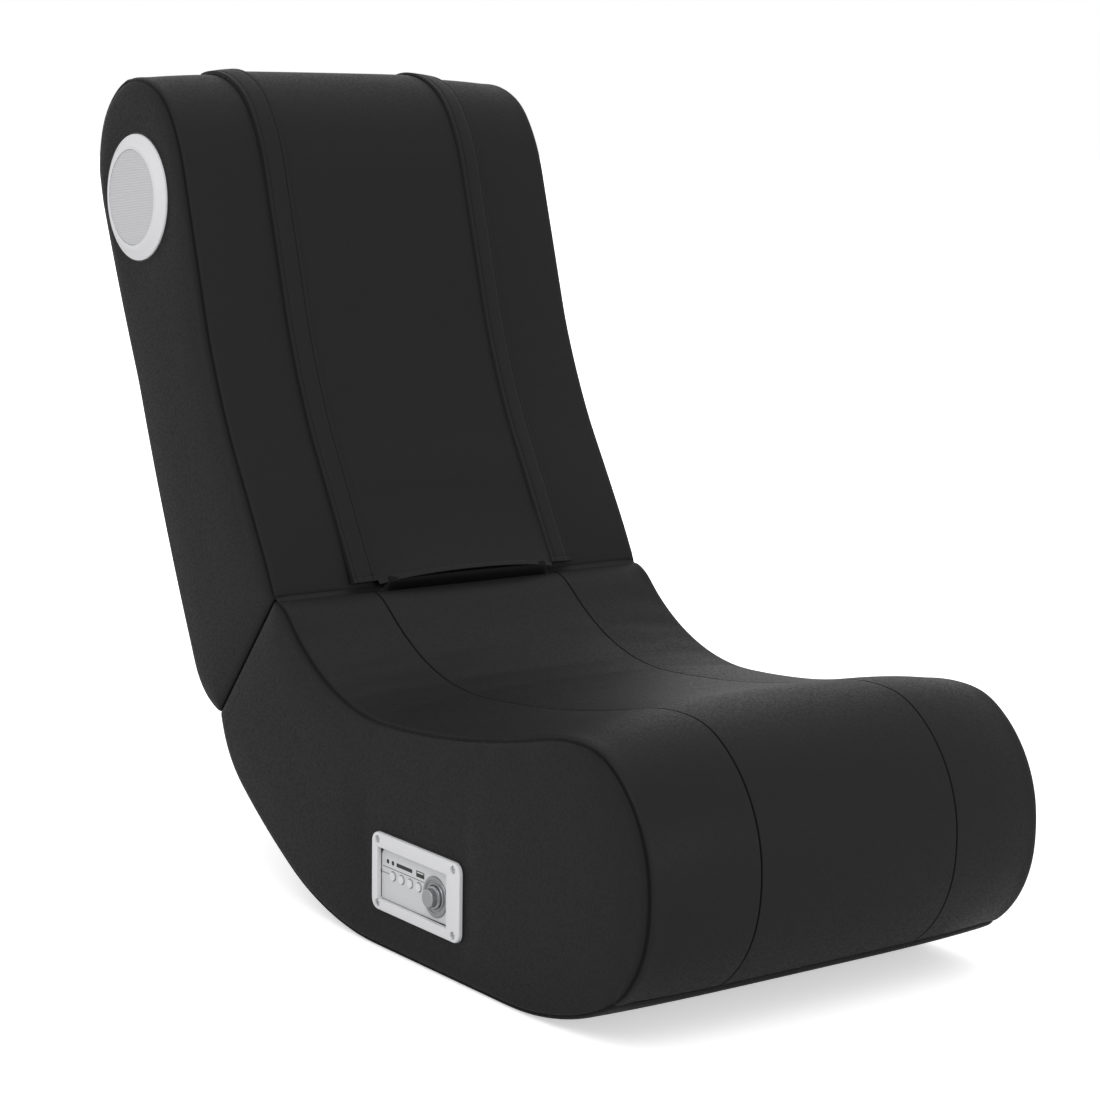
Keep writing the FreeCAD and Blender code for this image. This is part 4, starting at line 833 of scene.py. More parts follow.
@dataclass
class Wrap:
    """Covering wrapped round an outline across the chair."""

    profile: Profile
    columns: Array
    rows: Array
    roll_wide: float = 6 * MM
    roll_deep: float = 4 * MM
    lift: float = 0.0

    def roll(self, x: Array) -> Array:
        """Drop of the covering where it turns down to the side seam."""
        inside = np.clip((HALF_WIDTH - np.abs(x)) / self.roll_wide, 0, 1)
        return self.roll_deep * (1 - np.sqrt(np.clip(1 - (1 - inside) ** 2, 0, 1)))

    def place(self, x: Array, s: Array, extra: Optional[Array] = None) -> Array:
        """Positions of the covering's outer face.

        Args:
            x: Distances across the chair.
            s: Distances along the outline.
            extra: Further lift of each point.

        Returns:
            One row per point.
        """
        share = 1 - (np.abs(x) / HALF_WIDTH) ** CROWN_POWER
        lift = self.profile.crown_at(s) * share - self.roll(x) + self.lift
        if extra is not None:
            lift = lift + extra
        return np.column_stack((x, self.profile.at(s, lift)))

    def sheet(self, name: str, extra: Optional[Callable[[Array, Array], Array]] = None) -> Object:
        """Builds the open sheet.

        Args:
            name: Object name.
            extra: Gives further lift from the places across and along.

        Returns:
            The sheet, faces outwards.
        """
        columns = self.columns[::-1]

        def placed(column: Array, row: Array) -> Array:
            x, s = columns[column], self.rows[row]
            return self.place(x, s, extra(x, s) if extra else None)

        return grid(name, len(columns), len(self.rows), placed)


def darken_sides(piece: Object, wide: float = 1.1 * MM) -> None:
    """Paints shade along the sewn edges at both sides of a covering.

    Args:
        piece: Covering.
        wide: Width of the painted shade at each edge.
    """
    off = HALF_WIDTH - np.abs(places(piece)[:, 0])
    old = piece.data.attributes.get(SEAM_SHADE_MARK)
    values = np.zeros(len(piece.data.vertices), np.float32)
    if old:
        old.data.foreach_get("value", values)
    mark(piece, np.maximum(values, np.clip(1.6 - off / wide, 0, 1)))


def carve_seams(piece: Object, seams: Sequence[float], wide: float = 1.0 * MM,
                deep: float = 1.8 * MM, snap: float = 1.5 * MM) -> None:
    """Cuts sewn valleys along the chair into an open sheet and paints shade into them.

    Args:
        piece: Sheet with a line of edges at each seam.
        seams: Distances of the seams across the chair.
        wide: Half width of the valley.
        deep: Its depth.
        snap: Distance within which vertices are brought onto the seam.
    """
    data = places(piece)
    ends = edge_ends(piece)
    on_seam = np.zeros(len(ends), bool)
    for seam in seams:
        near = np.abs(data[:, 0] - seam) < snap
        data[near, 0] = seam
        on_seam |= near[ends[:, 0]] & near[ends[:, 1]]
    put(piece, data)
    pick(piece, on_seam, "EDGE")
    with editing(piece, "EDGE"):
        bpy.ops.mesh.bevel(offset=wide, segments=4, profile=0.5)
    data = places(piece)
    normals = np.empty(len(data) * 3)
    piece.data.vertices.foreach_get("normal", normals)
    off = np.min([np.abs(data[:, 0] - seam) for seam in seams], axis=0)
    share = np.clip(1 - off / wide, 0, 1)
    put(piece, data - normals.reshape(-1, 3) * (deep * share)[:, None])
    # Painted shade: darkest at the bottom of each valley.
    mark(piece, np.clip(1.3 * share, 0, 1))


def turned_in(s: Array, first: float, last: float, wide: float, deep: float) -> Array:
    """Drop of a covering where both its ends turn in.

    Args:
        s: Distances along the outline.
        first: Distance of the covering's start.
        last: Distance of its end.
        wide: Reach of the turn from each end.
        deep: Its depth.

    Returns:
        Drop of each point, none between the turns.
    """
    near = np.clip(np.minimum(s - first, last - s) / wide, 0, 1)
    return deep * (1 - np.sqrt(1 - (1 - near) ** 2))


def distance_along(piece: Object, profile: Profile) -> Array:
    """Distance along the outline of each vertex of a fresh sheet."""
    line, s = profile.line[::2], profile.s[::2]
    return s[np.argmin(np.linalg.norm(places(piece)[:, None, 1:] - line[None], axis=2), axis=1)]


COLUMN_EDGE = (0.35 * MM, 1.1 * MM, 2.4 * MM, 4.4 * MM, 7.5 * MM, 12 * MM)
ROW_EDGE = (0.5 * MM, 1.6 * MM, 4 * MM, 8 * MM)
CREASE_GAP = 0.9 * MM
HEEL_GAP = 0.7 * MM


@dataclass
class Upholstery:
    """Coverings of one shell: a swelled one over the foam and a plain one behind it."""

    profile: Profile
    swell: float
    pitch: float = 8 * MM
    cover: float = 2.4 * MM
    sunk: float = 0.8              # share of the swelling by which the sheet starts lower
    fade: float = 14 * MM          # width at each side over which it comes back level
    held_side: float = 6.5 * MM
    end_wide: float = 6 * MM
    end_deep: float = 3 * MM
    plain_wide: float = 5 * MM
    plain_end_deep: float = 2.4 * MM
    plain_side_deep: float = 3.5 * MM

    def swelled(self, name: str, first: float, last: float, columns: Array,
                sewn: Callable[[Array], Array]) -> Object:
        """Builds the open sheet over the foam, swelled and subdivided.

        Args:
            name: Object name.
            first: Distance along the outline where the sheet starts.
            last: Distance where it ends.
            columns: Stations across the chair.
            sewn: Test for distances from mid width that are held down.

        Returns:
            The sheet.
        """
        wrap = Wrap(self.profile, columns, spaced(first, last, self.pitch, ROW_EDGE),
                    lift=-self.swell * self.sunk)

        def ends(x: Array, s: Array) -> Array:
            level = np.clip((HALF_WIDTH - np.abs(x)) / self.fade, 0, 1)
            drop = turned_in(s, first, last, self.end_wide, self.end_deep)
            return self.swell * self.sunk * (1 - level) - drop

        piece = wrap.sheet(name, ends)
        x, s = np.abs(places(piece)[:, 0]), distance_along(piece, self.profile)
        held = (HALF_WIDTH - x < self.held_side) | sewn(x)
        held |= (s - first < self.end_wide) | (last - s < self.end_wide)
        puff(piece, held, self.swell)
        refine(piece)
        return piece

    def plain(self, name: str, first: float, last: float) -> Object:
        """Builds the covering behind, kept above the floor.

        Args:
            name: Object name.
            first: Distance along the outline where it starts.
            last: Distance where it ends.

        Returns:
            The covering with its thickness.
        """
        wrap = Wrap(self.profile, spaced(-HALF_WIDTH, HALF_WIDTH, 2 * self.pitch, COLUMN_EDGE),
                    spaced(first, last, self.pitch, ROW_EDGE), roll_wide=self.plain_wide,
                    roll_deep=self.plain_side_deep)

        def ends(_: Array, s: Array) -> Array:
            return -turned_in(s, first, last, self.plain_wide, self.plain_end_deep)

        piece = wrap.sheet(name, ends)
        data = places(piece)
        data[:, 2] = np.maximum(data[:, 2], 0.0)
        put(piece, data)
        return self.close(piece)

    def close(self, piece: Object) -> Object:
        """Darkens a sheet's sewn sides and gives it its thickness."""
        darken_sides(piece)
        thicken(piece, self.cover, 60)
        return piece


@dataclass
class SeatUpholstery(Upholstery):
    """Covering of the seat: three panels over the top and the roll, and a plain bottom."""

    profile: Profile = SEAT
    swell: float = 2.2 * MM
    seam: float = 103.4 * MM
    beside: float = 7 * MM         # extra station that keeps the seam's line narrow

    def columns(self) -> Array:
        """Stations across the chair with one on each seam."""
        outer = spaced(-HALF_WIDTH, -self.seam, self.pitch, COLUMN_EDGE)
        keep_to = int(np.argmax(outer > -self.seam - COLUMN_EDGE[-1] - 1e-6)) + 1
        outer = np.concatenate((outer[:keep_to], (-self.seam - self.beside, -self.seam)))
        middle = spaced(-self.seam, self.seam, self.pitch)
        return np.concatenate((outer, middle[1:-1], -outer[::-1]))

    def build(self) -> None:
        """Builds and seats both coverings."""
        marks = self.profile.marks
        top = self.swelled("seat_cushion", marks["crease"] + CREASE_GAP, marks["toe"], self.columns(),
                           lambda x: np.abs(x - self.seam) < 0.5 * MM)
        carve_seams(top, (-self.seam, self.seam))
        keep(self.close(top), "seat", "vinyl", LEATHERETTE, "seat_cover_left", "seat_cover_centre",
             "seat_cover_right", "seat_foam")
        bottom = self.plain("seat_bottom", marks["toe"], marks["heel"] - HEEL_GAP)
        keep(bottom, "seat", "vinyl", LEATHERETTE, "seat_bottom_cover")


@dataclass
class BackUpholstery(Upholstery):
    """Covering of the back: front with its edges rolled in, and a plain rear."""

    profile: Profile = BACK
    swell: float = 1.8 * MM
    flat_half: float = 120 * MM    # held flat under the centre panel and its flaps
    overlap: float = 2.5 * MM      # reach of the rear covering past the top seam

    def build(self) -> None:
        """Builds and seats both coverings."""
        marks = self.profile.marks
        front = self.swelled("back_cushion", marks["top"], marks["crease"] - CREASE_GAP,
                             spaced(-HALF_WIDTH, HALF_WIDTH, self.pitch, COLUMN_EDGE),
                             lambda x: x < self.flat_half)
        keep(self.close(front), "back", "vinyl", LEATHERETTE, "back_front_cover", "back_foam")
        rear = self.plain("back_rear", marks["heel"] + HEEL_GAP, marks["top"] + self.overlap)
        keep(rear, "back", "vinyl", LEATHERETTE, "back_rear_cover")


@dataclass
class SidePad:
    """Padded side of one shell, drawn in at its edge and open where a fitting sits."""

    name: str
    profile: Profile
    corners: tuple[str, str, str, str]
    body: str
    node: str
    side: Side
    hole: Optional[Callable[[Array], Array]] = None
    flat: Optional[Callable[[Array], Array]] = None
    inset: float = 3.4 * MM
    seam_x: float = 203.6 * MM
    rise: float = 4.4 * MM
    turn: float = 13 * MM
    joint_gap: float = 0.6 * MM
    pitch: float = 6.5 * MM
    edge: tuple[float, ...] = (0.5 * MM, 1.5 * MM, 3.2 * MM, 5.8 * MM, 9.5 * MM)
    swell: float = 2.4 * MM
    cover: float = 2.4 * MM
    free_share: float = 0.85     # share of the rise above which the face can swell
    seam_wide: float = 1.5 * MM

    def edge_line(self, first: str, last: str, share: Array) -> Array:
        """Points of the pad's edge between two corners, at shares of the way."""
        start, end = self.profile.marks[first], self.profile.marks[last]
        return self.profile.at(start + (end - start) * share, np.full(len(share), -self.inset))

    def on_joint(self, point: Array) -> Array:
        """Point moved along the outline's side of the joint face, clear of the other shell."""
        off = float((point - JOINT.point(0)) @ JOINT.to_back)
        sign = 1 if self.body == "back" else -1
        return point + JOINT.to_back * (sign * self.joint_gap - off)

    def sheet(self) -> Object:
        """Builds the pad's outer face as a patch between its four sides."""
        a, b, c, d = self.corners
        start, stop = self.edge_line(a, b, np.zeros(1))[0], self.edge_line(c, d, np.ones(1))[0]
        tall = float(np.linalg.norm(start - stop))
        top_run = abs(self.profile.marks[b] - self.profile.marks[a])
        low_run = abs(self.profile.marks[d] - self.profile.marks[c])
        wide = 0.5 * (top_run + low_run)
        u = spaced(0, wide, self.pitch, self.edge) / wide
        v = spaced(0, tall, self.pitch, self.edge) / tall
        corner_a, corner_d = self.on_joint(start), self.on_joint(stop)
        ease = (1 - u)[:, None]
        upper = self.edge_line(a, b, u) + ease ** 6 * (corner_a - start)
        lower = self.edge_line(c, d, 1 - u) + ease ** 6 * (corner_d - stop)
        front = self.edge_line(b, c, 1 - v)
        joint = corner_d + (corner_a - corner_d) * v[:, None]

        def placed(column: Array, row: Array) -> Array:
            p, q = u[column][:, None], v[row][:, None]
            flat = (1 - q) * lower[column] + q * upper[column] + (1 - p) * joint[row] + p * front[row]
            flat -= ((1 - p) * ((1 - q) * lower[0] + q * upper[0])
                     + p * ((1 - q) * lower[-1] + q * upper[-1]))
            loop = np.concatenate((upper, front[::-1], lower[::-1], joint))
            off = np.min(np.linalg.norm(flat[:, None] - loop[None], axis=2), axis=1)
            share = np.clip(off / self.turn, 0, 1)
            x = self.seam_x + self.rise * np.sqrt(np.clip(1 - (1 - share) ** 2, 0, 1))
            return np.column_stack((self.side.value * x, flat))

        return grid(self.name, len(u), len(v), placed)

    def build(self) -> Object:
        """Builds, swells and seats the pad."""
        piece = self.sheet()
        if self.side is Side.RIGHT:
            flip(piece)
        if self.hole:
            drop_faces(piece, self.hole(face_centres(piece)))
        data = places(piece)
        held = np.abs(data[:, 0]) <= self.seam_x + self.free_share * self.rise
        if self.flat:
            held |= self.flat(data)
        puff(piece, held, self.swell)
        refine(piece)
        # Painted shade along the seam where the pad turns in at its edge.
        off = np.abs(places(piece)[:, 0]) - self.seam_x
        mark(piece, np.clip(1.6 - off / self.seam_wide, 0, 1))
        thicken(piece, self.cover, 60)
        keep(piece, self.body, "padded_vinyl", LEATHERETTE, self.node)
        return piece


def control_hole(grow: float) -> Callable[[Array], Array]:
    """Test for points within the control tray's outline, grown by a margin."""
    low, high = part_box("control_tray")

    def inside(data: Array) -> Array:
        return ((data[:, 1] > low.y - grow) & (data[:, 1] < high.y + grow)
                & (data[:, 2] > low.z - grow) & (data[:, 2] < high.z + grow))
    return inside


def speaker_hole(side: Side, radius: float) -> Callable[[Array], Array]:
    """Test for points within a radius of a speaker's axis."""
    low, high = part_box(f"speaker_grille_{side.word}")
    centre = np.array(((low.y + high.y) / 2, (low.z + high.z) / 2))

    def inside(data: Array) -> Array:
        return np.linalg.norm(data[:, 1:] - centre, axis=1) < radius
    return inside


def build_side_pads() -> None:
    """Builds the four padded sides."""
    for side in Side:
        with_panel = side is Side.LEFT
        SidePad(f"seat_side_{side.word}", SEAT, ("crease", "roll", "toe", "heel"), "seat",
                f"seat_side_cover_{side.word}", side,
                hole=control_hole(1.5 * MM) if with_panel else None,
                flat=control_hole(26 * MM) if with_panel else None).build()
        SidePad(f"back_side_{side.word}", BACK, ("heel", "nape", "brow", "crease"), "back",
                f"back_side_cover_{side.word}", side, hole=speaker_hole(side, 48.5 * MM),
                flat=speaker_hole(side, 68 * MM), pitch=5.5 * MM).build()


@dataclass
class CentrePanel:
    """Removable panel between the flaps, bowed out and cut in an arc at its free lower edge."""

    half: float = 107 * MM
    lift: float = 1.7 * MM
    rise: float = 5.5 * MM       # further lift of the whole lower edge
    bow: float = 8 * MM
    bow_reach: float = 90 * MM
    bow_half: float = 99 * MM
    lower_gap: float = 0.5 * MM
    arc: float = 4.5 * MM        # how much shorter the panel is at mid width
    arc_reach: float = 40 * MM
    taper: float = 0.085         # share by which the lower end is narrower
    taper_reach: float = 26 * MM
    hem: float = 5.5 * MM
    held: float = 5 * MM
    cover: float = 1.6 * MM
    swell: float = 1.2 * MM

    def arch(self, x: Array) -> Array:
        """Share of the bow at a place across the panel."""
        return np.clip(1 - np.abs(x / self.bow_half) ** 4, 0, 1)

    def build(self) -> None:
        """Builds and seats the panel."""
        first, last = BACK.marks["top"], BACK.marks["crease"] - self.lower_gap
        rows = np.concatenate((spaced(first, last - 30 * MM, 8 * MM, (0.6 * MM, 2 * MM, 4 * MM))[:-3],
                               last - np.array((26, 20, 15, 10.5, 7, 6, 5, 4, 2, 0.5, 0)) * MM))
        columns = spaced(-self.half, self.half, 7 * MM, (1 * MM, 4 * MM))
        wrap = Wrap(BACK, columns, rows, lift=self.lift)

        def shorter(x: Array, s: Array) -> Array:
            near = np.clip(1 - (last - s) / self.arc_reach, 0, 1)
            return s - self.arc * np.clip(1 - (x / self.bow_half) ** 2, 0, 1) * near

        def bowed(x: Array, s: Array) -> Array:
            near = np.clip(1 - (last - s) / self.bow_reach, 0, 1)
            hem = groove((last - s) - self.hem, 0.5 * MM, 0.7 * MM)
            return (self.rise + self.bow * self.arch(x)) * near ** 2.5 - hem

        def placed(column: Array, row: Array) -> Array:
            s = rows[row]
            near = np.clip(1 - (last - s) / self.taper_reach, 0, 1)
            x = columns[::-1][column] * (1 - self.taper * near * near * (3 - 2 * near))
            return wrap.place(x, shorter(x, s), bowed(x, s))

        piece = grid("centre_panel", len(columns), len(rows), placed)
        side, s = self.half - np.abs(places(piece)[:, 0]), distance_along(piece, BACK)
        held = (side < self.held) | (s - first < self.held) | (last - s < self.bow_reach)
        puff(piece, held, self.swell)
        refine(piece)
        thicken(piece, self.cover, 50)
        keep(piece, "back", "vinyl", LEATHERETTE, "back_removable_panel")


@dataclass
class Flap:
    """Narrow flap over a zip: sewn down outside, free and hemmed inside."""

    side: Side
    inner: float = 98.4 * MM
    outer: float = 124.6 * MM
    sewn_lift: float = 1.9 * MM
    free_lift: float = 4.2 * MM
    sewn_edge: float = -1.0 * MM
    free_edge: float = 2.4 * MM
    edge_turn: float = 1.2 * MM
    end_gap: float = 4.5 * MM
    end_lift: float = 3.6 * MM
    end_reach: float = 55 * MM
    hem: float = 5 * MM
    hem_deep: float = 0.45 * MM
    thick: float = 1.5 * MM

    def across(self) -> Array:
        """Stations over the flap's width, close together at its hems."""
        steps = (0, 0.4, 1.2, 4.2, 4.7, 5.2, 5.7, 9, 13.1,
                 17.2, 20.5, 21.0, 21.5, 22.0, 25.0, 25.8, 26.2)
        return np.array([self.inner + step * MM for step in steps])

    def lift(self, x: Array, s: Array, last: float) -> Array:
        """Height of the flap's face over the cushion."""
        share = np.clip((np.abs(x) - self.inner) / (self.outer - self.inner), 0, 1)
        rise = self.free_lift + (self.sewn_lift - self.free_lift) * share ** 1.5
        edge = np.minimum(np.abs(x) - self.inner, self.outer - np.abs(x))
        down = 1 - np.clip(edge / self.edge_turn, 0, 1)
        rise = rise * (1 - down) + np.where(share > 0.5, self.sewn_edge, self.free_edge) * down
        rise = rise - groove(edge - self.hem, self.hem_deep, 0.45 * MM)
        near = np.clip(1 - (last - s) / self.end_reach, 0, 1)
        rise = rise + self.end_lift * near ** 2
        return rise - groove((last - s) - self.hem, self.hem_deep, 0.5 * MM)

    def build(self) -> None:
        """Builds and seats the flap with its seams."""
        first, last = BACK.marks["top"], BACK.marks["crease"] - self.end_gap
        rows = np.concatenate((spaced(first, last - 12 * MM, 6 * MM),
                               last - np.array((9, 6, 5.5, 5, 4.5, 4, 2, 0.5, 0)) * MM))
        wrap = Wrap(BACK, np.sort(self.across() * self.side.value), rows)
        piece = wrap.sheet(f"flap_{self.side.word}", lambda x, s: self.lift(x, s, last))
        # Painted shade in both hem stitch grooves.
        edge = np.abs(np.abs(places(piece)[:, 0]) - self.inner)
        off = np.abs(np.minimum(edge, self.outer - self.inner - edge) - self.hem)
        mark(piece, np.where(off < 0.3 * MM, 0.8, 0.0))
        thicken(piece, self.thick, 50)
        keep(piece, "back", "vinyl", LEATHERETTE, f"back_flap_{self.side.word}")


@dataclass
class ZipTape:
    """Woven tape of one zip, laid under its flap with a raised row of teeth."""

    side: Side
    middle: float = 110 * MM
    lift: float = 0.4 * MM
    teeth: float = 0.9 * MM
    teeth_half: float = 2.2 * MM
    thick: float = 0.6 * MM

    def build(self) -> Object:
        """Builds and seats the tape."""
        first, last = BACK.marks["top"] + 2 * MM, BACK.marks["crease"] - 14 * MM
        steps = np.array((-10, -6, -2.6, -2.0, 0, 2.0, 2.6, 6, 10)) * MM
        columns = np.sort(self.side.value * self.middle + steps)
        wrap = Wrap(BACK, columns, spaced(first, last, 8 * MM), lift=self.lift)

        def row_of_teeth(x: Array, _: Array) -> Array:
            return np.where(np.abs(np.abs(x) - self.middle) < self.teeth_half, self.teeth, 0.0)

        piece = wrap.sheet(f"zip_tape_{self.side.word}", row_of_teeth)
        thicken(piece, self.thick, 40)
        return keep(piece, "back", "zip_tape", TAPE, "back_zips")


@dataclass
class Crease:
    """Cloth at the joint: a web over the hinges and a lining on each joint face."""

    web_half: float = 203 * MM
    hinge_half: float = 88 * MM
    web_end: float = 7 * MM        # reach of the web over each shell from the crease
    web_sunk: float = 3.2 * MM     # how far its edges lie under the coverings
    web_low: float = 9 * MM        # reach down the joint at the sides
    web_rise: float = 14.4 * MM    # how much higher it runs over the hinges
    web_thick: float = 0.8 * MM
    panel_half: float = 97 * MM    # painted shadow of the panel darkens the web within this
    lining: float = 0.2 * MM
    face_gap: float = 0.06 * MM

    def web(self) -> None:
        """Builds the web that bends from one shell to the other, proud only over the hinges."""
        sunk = np.array((-self.web_sunk,))
        seat_edge = SEAT.at(np.array((self.web_end,)), sunk)[0]
        back_edge = BACK.at(np.array((BACK.length - self.web_end,)), sunk)[0]
        rows = np.linspace(0, 1, 15)
        columns = spaced(-self.web_half, self.web_half, 5 * MM)

        def placed(column: Array, row: Array) -> Array:
            t = rows[row][:, None]
            proud = np.clip((self.hinge_half - np.abs(columns[::-1][column])) / (8 * MM) + 1, 0, 1)
            reach = self.web_low - self.web_rise * proud * proud * (3 - 2 * proud)
            middle = JOINT.point(0) + JOINT.along * reach[:, None]
            pull = 2 * middle - 0.5 * (seat_edge + back_edge)
            line = (1 - t) ** 2 * seat_edge + 2 * t * (1 - t) * pull
            line = line + t ** 2 * back_edge
            return np.column_stack((columns[::-1][column], line))

        piece = grid("crease_web", len(columns), len(rows), placed)
        # Painted shadow of the centre panel over the web, across the panel's width.
        mark(piece, np.clip((self.panel_half - np.abs(places(piece)[:, 0])) / (4 * MM), 0, 1))
        thicken(piece, self.web_thick, 60)
        PAINTS.dress(piece, LEATHERETTE)
        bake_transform(piece, "seat", "back", start=(0, *seat_edge), end=(0, *back_edge))

    def face(self, body: str, sign: int) -> None:
        """Builds the thin knit lining on one shell's joint face, near black as painted shade of the gap.

        Args:
            body: Body of the shell.
            sign: Side of the joint on which the shell lies, -1 for the seat.
        """
        rows = np.linspace(9 * MM, 167.5 * MM, 14)
        columns = spaced(-HALF_WIDTH + 2 * MM, HALF_WIDTH - 2 * MM, 12 * MM)

        def placed(column: Array, row: Array) -> Array:
            flat = np.array([JOINT.point(r, sign * self.face_gap) for r in rows])
            return np.column_stack((sign * columns[column], flat[row]))

        piece = grid(f"{body}_joint_lining", len(columns), len(rows), placed)
        finish_with(piece, "SOLIDIFY", thickness=self.lining, offset=-1.0)
        keep(piece, body, "vinyl", GAP_SHADE_KNIT)

    def build(self) -> None:
        """Builds the web and both linings."""
        self.web()
        self.face("seat", -1)
        self.face("back", 1)


# ---- Fittings ----


@dataclass
class SpeakerTrim:
    """Turned ring round a speaker, with rounded lips, and a black rim just outside it as painted shadow."""

    side: Side
    ring: Section = (
        (59.5, 206.9), (59.7, 208.4), (59.6, 209.4), (59.0, 210.2), (58.0, 210.7),
        (56.0, 211.4), (53.0, 213.0), (50.5, 214.5), (48.6, 215.3), (47.2, 215.5),
        (46.2, 215.2), (45.6, 214.4), (45.4, 213.4), (45.4, 207.5), (46.5, 206.9))
    shadow_rim: Section = (
        (59.0, 207.6), (59.0, 208.5), (60.6, 208.45), (61.0, 208.2), (61.0, 207.6))
    steps: int = 128

    def build(self) -> None:
        """Builds and seats the ring and the black rim of painted shadow round it."""
        centre = box_middle(f"speaker_grille_{self.side.word}", 0)
        word, outward = self.side.word, self.side.value
        ring = lathe(f"speaker_ring_{word}", self.ring, centre, outward, self.steps)
        smooth(ring, 45)
        keep(ring, "back", "silver_plastic", SILVER_ABS)
        # Black rim outside the ring: painted shadow where the ring sits on the vinyl.
        shadow_rim = lathe(f"speaker_shadow_rim_{word}", self.shadow_rim, centre, outward, self.steps)
        smooth(shadow_rim, 45)
        keep(shadow_rim, "back", "black_plastic", BLACK_ABS)


@dataclass
class ControlPanel:
    """Control panel: faceplate, its parting lines, volume dial, knob and button rings."""

    plate_bevel: float = 1.2 * MM
    window_bevel: float = 0.5 * MM
    corner: float = 9 * MM
    floor: float = -207.3 * MM
    plate_rear: float = -207.0 * MM
    window: tuple[float, float] = (-122.1, 69.8)
    window_size: tuple[float, float] = (105.3, 46.0)
    # The black rim behind the plate is painted shadow round its edge.
    shadow_rim_window: tuple[float, float] = (106.5, 47.2)
    shadow_rim_grown: float = 0.9 * MM
    bore: float = 3.5 * MM
    bore_deep: float = 4.2 * MM
    ribs: int = 32
    rib_share: float = 0.045
    dial: Section = (
        (17.6, -0.2), (17.6, 0.8), (17.2, 1.3), (16.8, 1.45), (14.7, 1.45), (14.3, 1.3),
        (14.1, 0.8), (12.4, 0.7),
        (12.2, 1.2), (11.9, 1.4), (10.8, 1.4), (10.5, 1.2), (10.4, 0.9), (10.4, -0.2))
    knob: Section = (
        (9.6, 0.6), (9.8, 0.8), (9.8, 2.4), (9.5, 2.9), (8.9, 3.1), (8.3, 3.2), (8.1, 3.5),
        (8.1, 5.4), (8.1, 7.6),
        (7.9, 8.4), (7.4, 8.9), (6.9, 9.1), (5.4, 9.0), (0.05, 9.0), (0.05, 0.6))
    screw: Section = (
        (0.05, -1.1), (2.2, -1.1), (2.9, -1.35), (3.1, -1.8), (3.0, -2.3), (1.4, -2.7), (1.4, -25.6),
        (0.05, -25.9))
    jack_mouth: Section = (
        (0.05, -0.2), (0.05, 0.06), (1.9, 0.06), (2.1, 0.0), (2.1, -0.2))
    button_ring: Section = ((3.72, -0.1), (3.72, 0.05), (4.3, 0.05), (4.35, -0.1))

    @staticmethod
    def block(name: str, low: Vector, high: Vector) -> Object:
        """Adds a block between two corners."""
        bpy.ops.mesh.primitive_cube_add(size=1.0)
        piece = bpy.context.active_object
        piece.name = name
        data = places(piece)
        put(piece, np.array(low) + (data + 0.5) * (np.array(high) - np.array(low)))
        return piece

    def round_corners(self, piece: Object, radius: float, segments: int) -> None:
        """Rounds the four edges that run through the plate."""
        data, ends = places(piece), edge_ends(piece)
        run = np.abs(data[ends[:, 0]] - data[ends[:, 1]])
        pick(piece, (run[:, 0] > 1e-4) & (run[:, 1] < 1e-5) & (run[:, 2] < 1e-5), "EDGE")
        with editing(piece, "EDGE"):
            bpy.ops.mesh.bevel(offset=radius, segments=segments, profile=0.5)

    def soften_face(self, piece: Object, x: float, radius: float,
                    inside: Callable[[Array], Array]) -> None:
        """Rounds the edges that lie in the front face and pass a test."""
        data, ends = places(piece), edge_ends(piece)
        middle = 0.5 * (data[ends[:, 0]] + data[ends[:, 1]])
        flat = (np.abs(data[ends[:, 0], 0] - x) < 1e-5) & (np.abs(data[ends[:, 1], 0] - x) < 1e-5)
        pick(piece, flat & inside(middle), "EDGE")
        with editing(piece, "EDGE"):
            bpy.ops.mesh.bevel(offset=radius, segments=3, profile=0.5)

    def window_cutter(self, start: float, end: float, size: tuple[float, float]) -> Object:
        """Adds a block that runs through the window.

        Args:
            start: Lower X of the block.
            end: Upper X of the block.
            size: Width and height of the block in mm.

        Returns:
            The block.
        """
        centre, half = np.array(self.window) * MM, np.array(size) * MM / 2
        return self.block("window_cutter", Vector((start, *(centre - half))),
                          Vector((end, *(centre + half))))

    def screw_places(self) -> list[Vector]:
        """Centres of the four screws in the plate's face."""
        low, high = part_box("control_faceplate")
        middle = (low + high) / 2
        return [Vector((low.x, middle.y + y * MM, middle.z + z * MM))
                for y in (-57.5, 57.5) for z in (-28, 28)]

    def plate(self) -> None:
        """Builds the faceplate with its window, counterbores and rounded edges."""
        low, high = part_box("control_faceplate")
        piece = self.block("panel_faceplate", low, Vector((self.plate_rear, high.y, high.z)))
        self.round_corners(piece, self.corner, 8)
        cutter = self.window_cutter(low.x - 0.01, high.x + 0.02, self.window_size)
        self.round_corners(cutter, 1.0 * MM, 3)
        cut(piece, cutter)
        centre = np.array(self.window) * MM
        grown = np.array(self.window_size) * MM / 2 + 1 * MM

        def window(data: Array) -> Array:
            return ((np.abs(data[:, 1] - centre[0]) < grown[0])
                    & (np.abs(data[:, 2] - centre[1]) < grown[1]))

        self.soften_face(piece, low.x, self.window_bevel, window)
        self.soften_face(piece, low.x, self.plate_bevel, lambda data: ~window(data))
        for place in self.screw_places():
            bpy.ops.mesh.primitive_cylinder_add(vertices=32, radius=self.bore, depth=self.bore_deep,
                                                rotation=(0, math.pi / 2, 0), location=place)
            cut(piece, bpy.context.active_object)
        smooth(piece, 35)
        keep(piece, "seat", "silver_plastic", SILVER_ABS, "control_faceplate")

    def shadow_rim(self) -> None:
        """Builds the thin black rim behind the faceplate, which shows round its edge as painted shadow."""
        low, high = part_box("control_faceplate")
        grown = Vector((0, self.shadow_rim_grown, self.shadow_rim_grown))
        piece = self.block("panel_shadow_rim", Vector((-208.5 * MM, low.y, low.z)) - grown,
                           Vector((-207.9 * MM, high.y, high.z)) + grown)
        self.round_corners(piece, self.corner + grown.y, 8)
        cut(piece, self.window_cutter(-0.22, -0.2, self.shadow_rim_window))
        keep(piece, "seat", "black_plastic", BLACK_ABS)

